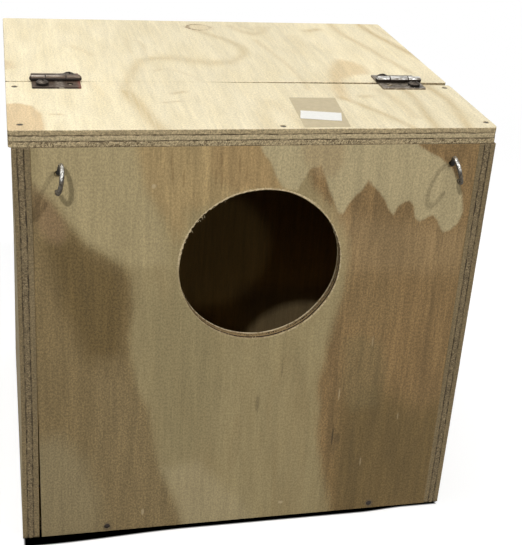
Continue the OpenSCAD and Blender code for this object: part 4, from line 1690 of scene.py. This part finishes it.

# %% [markdown]
# The touches of single parts come next. Barrels get painted highlight bands, knuckles part at dark
# lines, painted shadow lies in front of screws and painted shade on the low sides of their heads,
# the left hinge rusts at its right end, and the hooks are painted dark below the bend.

# %% Touches of single parts
# Heights in millimetres: the leaves' upper face, and where the barrel stands clear of it.
LEAF_TOP = 247.7
BARREL_FROM = (248.2, 248.6)
KNUCKLE_JOINT = 5.5
SHADOW_BEFORE_SCREW = {"left": -107.7, "right": 104.2}
# Depths between which a hook's wire runs into the corner at the front and is painted black as shade.
HOOK_ROOT = (-113.0, -110.6)


def painted_highlight_bands(tree, place, facing, bands):
    """Painted highlight bands along a barrel. Each is (upward part of its normal, half width, strength)."""
    upward, height = split(tree, facing)[2], split(tree, place)[2]
    total = 0.0
    for middle, half, strength in bands:
        off = off_from(tree, upward, middle)
        total = calc(tree, "MAXIMUM", total, mask_between(tree, off, half, half * 0.6, 0.0, strength))
    streaked = mask_between(tree, stretched_noise(tree, place, (0.16, 0.9, 0.9), 4.0, 0.7), 0.36, 0.54)
    return times(tree, total, streaked, mask_between(tree, height, *BARREL_FROM))


def shadow_before_screw(tree, place, colour, across):
    """Painted shadow: black on a leaf, in front of its screw's head."""
    away = vector_calc(tree, "SUBTRACT", place, (across, -39.6, LEAF_TOP))
    reach = length(tree, vector_calc(tree, "MULTIPLY", away, (0.26, 0.55, 0.2)))
    ragged = times(tree, stretched_noise(tree, place, (0.8, 0.8, 0.8), 3.0), 0.5)
    painted_shadow = mask_between(tree, plus(tree, reach, ragged), 1.35, 1.05)
    return lay_over(tree, colour, (0.010, 0.007, 0.005), painted_shadow, 0.93)


def rust_at_end(tree, place, facing, colour):
    """Red rust on the right end of the left hinge, and a patch of pale steel on its front leaf."""
    across, _, height = split(tree, place)
    ragged = times(tree, stretched_noise(tree, place, (0.5, 0.5, 0.5), 4.0), 4.0)
    on_leaf = mask_between(tree, height, 248.3, 247.6)
    red = times(tree, mask_between(tree, plus(tree, across, ragged), -88.3, -85.7), on_leaf)
    # Painted highlight: a pale band along the top of the left barrel, fading towards its right end.
    shine = painted_highlight_bands(tree, place, facing, [(0.84, 0.08, 1.0)])
    shine = times(tree, shine, mask_between(tree, across, -95.0, -99.0, 0.25, 1.0))
    colour = lay_over(tree, colour, (0.62, 0.57, 0.50), shine, 0.7)
    patch = mask_between(tree, stretched_noise(tree, place, (0.5, 0.9, 0.5), 4.0, 0.7), 0.42, 0.6)
    from_middle = calc(tree, "ABSOLUTE", plus(tree, across, 98.6))
    in_middle = mask_between(tree, from_middle, 3.4, 1.2)
    colour = lay_over(tree, colour, (0.46, 0.41, 0.34), in_middle, on_leaf, patch, 0.6)
    colour = knuckle_joints(tree, place, colour, HINGE_MIDDLES[0])
    colour = lay_over(tree, colour, (0.24, 0.095, 0.065), red, 0.75)
    return shadow_before_screw(tree, place, colour, SHADOW_BEFORE_SCREW["left"]), None


def dull_leaf(tree, place, facing, colour):
    """The right hinge has painted highlight bands only on its barrel. Its flat leaves have gone brown."""
    flat = mask_between(tree, split(tree, place)[2], 248.2, 247.6)
    streaked = mask_between(tree, stretched_noise(tree, place, (0.30, 1.6, 1.6), 4.0, 0.65), 0.50, 0.68)
    leaf = mix_tone(tree, streaked, (0.190, 0.155, 0.115), (0.60, 0.55, 0.47))
    shine = painted_highlight_bands(tree, place, facing, [(0.93, 0.085, 1.0), (0.60, 0.09, 0.6)])
    colour = lay_over(tree, colour, (0.95, 0.94, 0.90), shine, 0.9)
    colour = knuckle_joints(tree, place, colour, HINGE_MIDDLES[1])
    colour = mix_tone(tree, flat, colour, leaf)
    return shadow_before_screw(tree, place, colour, SHADOW_BEFORE_SCREW["right"]), None


def shade_under_head(tree, place, facing, colour):
    """Painted shade: near-black on the low sides of a screw's head and in its cross."""
    ragged = times(tree, stretched_noise(tree, place, (0.9, 0.9, 0.9), 3.0), 0.6)
    low = mask_between(tree, plus(tree, split(tree, place)[2], ragged), 249.1, 248.6)
    return lay_over(tree, colour, (0.012, 0.009, 0.007), low, 0.92), low


def knuckle_joints(tree, place, colour, middle):
    """Dark lines where one knuckle ends and the next begins."""
    x, _, z = split(tree, place)
    off = off_from(tree, off_from(tree, x, middle), KNUCKLE_JOINT)
    on_barrel = calc(tree, "GREATER_THAN", z, LEAF_TOP + 0.1)
    return lay_over(tree, colour, (0.03, 0.022, 0.018), mask_between(tree, off, 0.42, 0.2), on_barrel)


def shaded_low_down(tree, place, facing, colour):
    """Zinc, bright at the top bend; below it a painted dark reflection, and painted black shade at its
    root.
    """
    _, forward, height = split(tree, place)
    ragged = times(tree, stretched_noise(tree, place, (0.5, 0.5, 0.5), 4.0), 5.0)
    # Painted reflection of dark surroundings: the wire goes dark and mottled below the bend.
    dull = mask_between(tree, less(tree, height, ragged), 226.0, 221.5)
    patches = stretched_noise(tree, place, (0.7, 0.7, 0.7), 4.0, 0.75)
    patchy = mask_between(tree, patches, 0.42, 0.58, 0.55, 1.0)
    mottle = mask_between(tree, stretched_noise(tree, place, (0.9, 0.9, 0.9), 3.0, 0.8), 0.46, 0.60)
    shaded_tone = mix_tone(tree, mottle, (0.040, 0.029, 0.015), (0.190, 0.158, 0.105))
    colour = lay_over(tree, colour, shaded_tone, dull, patchy)
    fleck = mask_between(tree, stretched_noise(tree, place, (0.75, 0.75, 0.75), 3.0, 0.75), 0.53, 0.60)
    colour = lay_over(tree, colour, (0.10, 0.092, 0.078), fleck, 0.85)
    # Painted shade: black where the wire runs into the corner at the front.
    in_corner = mask_between(tree, forward, *HOOK_ROOT)
    colour = lay_over(tree, colour, (0.004, 0.003, 0.002), in_corner, 0.95)
    return colour, calc(tree, "MAXIMUM", dull, in_corner)


print("touches of single parts ready")


# %% [markdown]
# The left hinge is brown and dull, the right one shines on top with painted highlight bands. The
# screws are dark. The hooks are zinc wire: bright on the top bend and painted dark lower down, a
# painted reflection of dark surroundings.

# %% Steel finishes
# Each finish: bare colour, film colour, amount of film, underside painted shade, metallic, then its
# own touches.
STEELS = {
    "dull_steel": ((0.165, 0.118, 0.080), (0.055, 0.034, 0.020), 0.62, 0.98, 0.60, rust_at_end),
    "bright_steel": ((0.27, 0.25, 0.215), (0.10, 0.082, 0.062), 0.45, 0.98, 0.92, dull_leaf),
    "screw_steel": ((0.15, 0.13, 0.105), (0.045, 0.034, 0.026), 0.7, 0.98, 0.85, shade_under_head),
    "zinc_wire": ((0.86, 0.85, 0.80), (0.16, 0.145, 0.12), 0.40, 0.9, 0.94, shaded_low_down, 0.0004),
    "nail_steel": ((0.085, 0.065, 0.050), (0.035, 0.022, 0.015), 0.8, 0.5, 0.5),
}
steels = {name: steel(name, *look) for name, look in STEELS.items()}
print(len(steels), "steel finishes")

# %% [markdown]
# The CAD's parts are new and straight. Here the screw heads are pressed taller, the knuckles rolled
# a little deeper from front to back, the hooks closed and bent at the neck, and the nails moved with
# the boards that they hold.

# %% Shape and dress the steel parts
SCREW_TOP = 249.5
SCREW_PRESS = 0.7


def pressed_taller(x, y, z):
    """Raises a screw head so that it stands up as a pan head."""
    rise = max(0.0, (z - LEAF_TOP) / (SCREW_TOP - LEAF_TOP))
    return x, y, z + SCREW_PRESS * min(rise, 1.0)


# Where the CAD's wire enters the front, then how far the neck slips and sinks, and how much smaller
# and where to the whole hook goes.
HOOK_BENDS = {
    "left": dict(entry=(-104.0, 225.4), slip=0.2, sink=0.8, size=0.965, shift=(0.55, -0.15)),
    "right": dict(entry=(104.3, 227.3), slip=1.5, sink=0.2, size=0.94, shift=(0.1, -0.6)),
}
NECK_REACH = 4.0
NECK_THINNED = 0.28
WIRE_LUMPS = 0.16
# Vector noise starts from the clock unless it is given a seed.
noise.seed_set(5)


def bent_hook(entry, slip, sink, size, shift):
    """Closes a hook a little, and bends its neck to the left where the shank enters the front."""
    root = Vector((entry[0], front.low[1], entry[1]))

    def move(x, y, z):
        place = root + (Vector((x, y, z)) - root) * size
        stands_out = (root.y - y) / NECK_REACH
        bend = min(1.0, max(0.0, 1 - stands_out))
        thin = 1 - NECK_THINNED * bend
        place.x = root.x + (place.x - root.x) * thin + shift[0] - slip * bend
        place.z = root.z + (place.z - root.z) * thin + shift[1] - sink * bend
        return place + noise.noise_vector(place * 0.75) * WIRE_LUMPS
    return move


def pressed_to_bow(x, y, z):
    """Takes the left panel's nails along with its bow."""
    return x + (1 + BOW_THINNING) * BOARDS["left_panel"].bow_at(z), y, z


PIN_AXIS = (-29.2, 248.75)
PIN_REACH = 1.5
KNUCKLE_REACH = 2.25
KNUCKLE_DEEPER = 1.12
HINGE_SHIFT = {"left": 0.4, "right": 0.0}


def swollen_barrel(shift):
    """Makes the rolled knuckles a little deeper from front to back, as rolling has left them."""
    def move(x, y, z):
        off_y, off_z = y - PIN_AXIS[0], z - PIN_AXIS[1]
        away = math.hypot(off_y, off_z)
        if away < PIN_REACH or (away < KNUCKLE_REACH and z > LEAF_TOP):
            y = PIN_AXIS[0] + off_y * KNUCKLE_DEEPER
        return x + shift, y, z
    return move


for side, slot in (("left", "dull_steel"), ("right", "bright_steel")):
    for part in ("front_leaf", "back_leaf", "pin"):
        piece = softened(f"{side}_hinge_{part}", move=swollen_barrel(HINGE_SHIFT[side]))
        piece.data.materials.append(steels[slot])
    for part in ("front_screw", "back_screw"):
        shift = HINGE_SHIFT[side]
        piece = softened(
            f"{side}_hinge_{part}", move=lambda x, y, z, shift=shift: pressed_taller(x + shift, y, z)
        )
        piece.data.materials.append(steels["screw_steel"])
    piece = softened(f"{side}_hook", width=0, rounds=1, move=bent_hook(**HOOK_BENDS[side]))
    piece.data.materials.append(steels["zinc_wire"])


def lowered(x, y, z):
    """Sets the front's nails a little lower than the CAD has them."""
    return x, y, z - CAD_NAIL_HEIGHT + FRONT_NAIL_HEIGHT


CAD_NAIL_HEIGHT = 4.7
NAIL_MOVES = {"left_nails": pressed_to_bow, "front_nails": lowered}
for part in ("roof_nails", "front_nails", "back_nails", "left_nails", "right_nails"):
    piece = softened(part, width=0.12, move=NAIL_MOVES.get(part))
    piece.data.materials.append(steels["nail_steel"])
print("steel parts dressed")

# %% [markdown]
# ## Tape and label
#
# A square of tan paper tape is stuck on the strip, and a small white label on the tape. Both are
# films with slightly wavy edges and a few low blisters, made as a fine grid that follows the four
# corners. The label is left bare.


# %% Paper films
EDGE_WAVE = 0.16
BLISTER_HEIGHT = 0.16


def paper_film(name, corners, base, lift, seed):
    """A thin four-cornered film on the strip. Corners go clockwise from the rear left."""
    columns, rows = 34, 40
    mesh = bpy.data.meshes.new(name)
    corners = [np.array(corner, float) for corner in from_rear_left(corners)]
    points = []
    for row in range(rows + 1):
        for column in range(columns + 1):
            u, v = column / columns, row / rows
            spot = ((corners[0] * (1 - u) + corners[1] * u) * (1 - v)
                    + (corners[3] * (1 - u) + corners[2] * u) * v)
            wave = EDGE_WAVE * ripple(spot[0] * 0.55, spot[1] * 0.55, seed)
            spot = spot + wave * np.array((1 if u in (0, 1) else 0, 1 if v in (0, 1) else 0))
            blister = max(0.0, ripple(spot[0] * 0.16, spot[1] * 0.22, seed + 5)) * BLISTER_HEIGHT
            edge = min(u, 1 - u, v, 1 - v) > 0
            points.append((spot[0], spot[1], base + lift + (blister if edge else 0.0)))
    faces = []
    for row in range(rows):
        for column in range(columns):
            k = row * (columns + 1) + column
            faces.append((k, k + columns + 1, k + columns + 2, k + 1))
    mesh.from_pydata([Vector(point) * MM for point in points], [], faces)
    form = bmesh.new()
    form.from_mesh(mesh)
    rim = [edge for edge in form.edges if edge.is_boundary]
    skirt = bmesh.ops.extrude_edge_only(form, edges=rim)["geom"]
    for vertex in skirt:
        if isinstance(vertex, bmesh.types.BMVert):
            vertex.co.z = base * MM
    bmesh.ops.holes_fill(form, edges=[edge for edge in form.edges if edge.is_boundary], sides=0)
    bmesh.ops.recalc_face_normals(form, faces=form.faces)
    form.to_mesh(mesh)
    form.free()
    piece = put_in_scene(name, mesh)
    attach(piece, "box")
    return piece


def paper(name, colour, mottle, roughness):
    """Paper: a soft mottle of two tones and fine crossing fibres."""
    material, tree, shader = new_material(name)
    place, _ = object_place(tree)
    cloud = stretched_noise(tree, place, (0.35, 0.35, 0.35), 5.0, 0.65)
    fibre = stretched_noise(tree, place, (3.0, 0.9, 1.0), 4.0, 0.6)
    darker = tuple(c * (1 - mottle) for c in colour)
    tone = mix_tone(tree, mask_between(tree, cloud, 0.35, 0.65), colour, darker)
    tone = scaled(tree, tone, mask_between(tree, fibre, 0.3, 0.7, 0.96, 1.03))
    plug(tree, tone, shader.inputs["Base Color"])
    shader.inputs["Roughness"].default_value = roughness
    add_bump(tree, shader, fibre, 0.3, 0.0001)
    return material


STRIP_TOP = 246.8
tape = paper_film(
    "tape", [(151, 164.6), (177.2, 165.4), (172.7, 213.6), (147.9, 213.9)], STRIP_TOP, 0.10, 3.0)
tape.data.materials.append(paper("paper_tape", (0.52, 0.435, 0.275), 0.10, 0.6))
label = paper_film(
    "label", [(152, 187.7), (173.4, 192), (170.2, 204.7), (148.9, 200.3)], STRIP_TOP + 0.22, 0.12, 8.0)
label.data.materials.append(paper("label_paper", (0.80, 0.79, 0.74), 0.05, 0.5))
print("tape and label stuck on")

# %% [markdown]
# ## Splinters
#
# A jigsaw lifts small splinters where it crosses the fibres. They stand at the rim of the hole, most
# at the upper left and at the bottom, and two pale chips hang under the front edge of the roof. Each
# is a thin three-sided spike, all of them in one mesh.


# %% Splinters
# Where they stand round the hole: angle and spread in degrees, and the share of them.
SPLINTER_SECTORS = ((142, 22, 0.45), (262, 26, 0.35), (30, 16, 0.20))
# Two chips under the roof's front edge: how far right of the box's left side, and their length.
ROOF_CHIPS = ((143.6, 2.6), (150.4, 2.2))
CHIP_FOOT = (-127.0, -107.65, 238.9)


def add_spike(points, faces, foot, tip, width):
    """One three-sided spike from foot to tip."""
    ahead = (tip - foot).normalized()
    side = ahead.cross(Vector((0, 1, 0))).normalized() * width / 2
    out = ahead.cross(side).normalized() * width * 0.35
    start = len(points)
    points.extend((foot - side, foot + side, foot + out, tip))
    faces.extend([(start, start + 1, start + 2), (start, start + 3, start + 1),
                  (start + 1, start + 3, start + 2), (start + 2, start + 3, start)])


def hole_splinters(count, seed):
    """Spikes round the entry hole, thickest where the saw tore the most."""
    draw = np.random.default_rng(seed)
    points, faces = [], []
    face = front.low[1]
    shares = [share for _, _, share in SPLINTER_SECTORS]
    for _ in range(count):
        at, spread, _ = SPLINTER_SECTORS[draw.choice(3, p=shares)]
        angle = math.radians(draw.normal(at, spread))
        way = Vector((math.cos(angle), 0, math.sin(angle)))
        middle = Vector((ENTRY_CENTRE[0], face + draw.uniform(0.0, 0.5), ENTRY_CENTRE[1]))
        foot = middle + way * (ENTRY_RADIUS + draw.uniform(0.1, 0.6))
        upright = Vector((draw.normal(0, 0.25), -draw.uniform(0.02, 0.2), draw.choice((-1.0, 1.0))))
        lean = (upright - way * draw.uniform(0.3, 0.9)).normalized()
        add_spike(points, faces, foot, foot + lean * draw.uniform(0.8, 2.2), draw.uniform(0.25, 0.5))
    return points, faces


splinter_points, splinter_faces = hole_splinters(44, seed=7)
for right, drop in ROOF_CHIPS:
    foot = Vector((CHIP_FOOT[0] + right, *CHIP_FOOT[1:]))
    add_spike(splinter_points, splinter_faces, foot, foot + Vector((0.5, -0.1, -drop)), 0.8)
splinter_mesh = bpy.data.meshes.new("splinters")
splinter_mesh.from_pydata([point * MM for point in splinter_points], [], splinter_faces)
splinters = put_in_scene("splinters", splinter_mesh)
splinter_mesh.materials.append(paper("pale_splinter", (0.62, 0.50, 0.31), 0.2, 0.7))
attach(splinters, "box")
print(len(splinter_faces) // 4, "splinters")
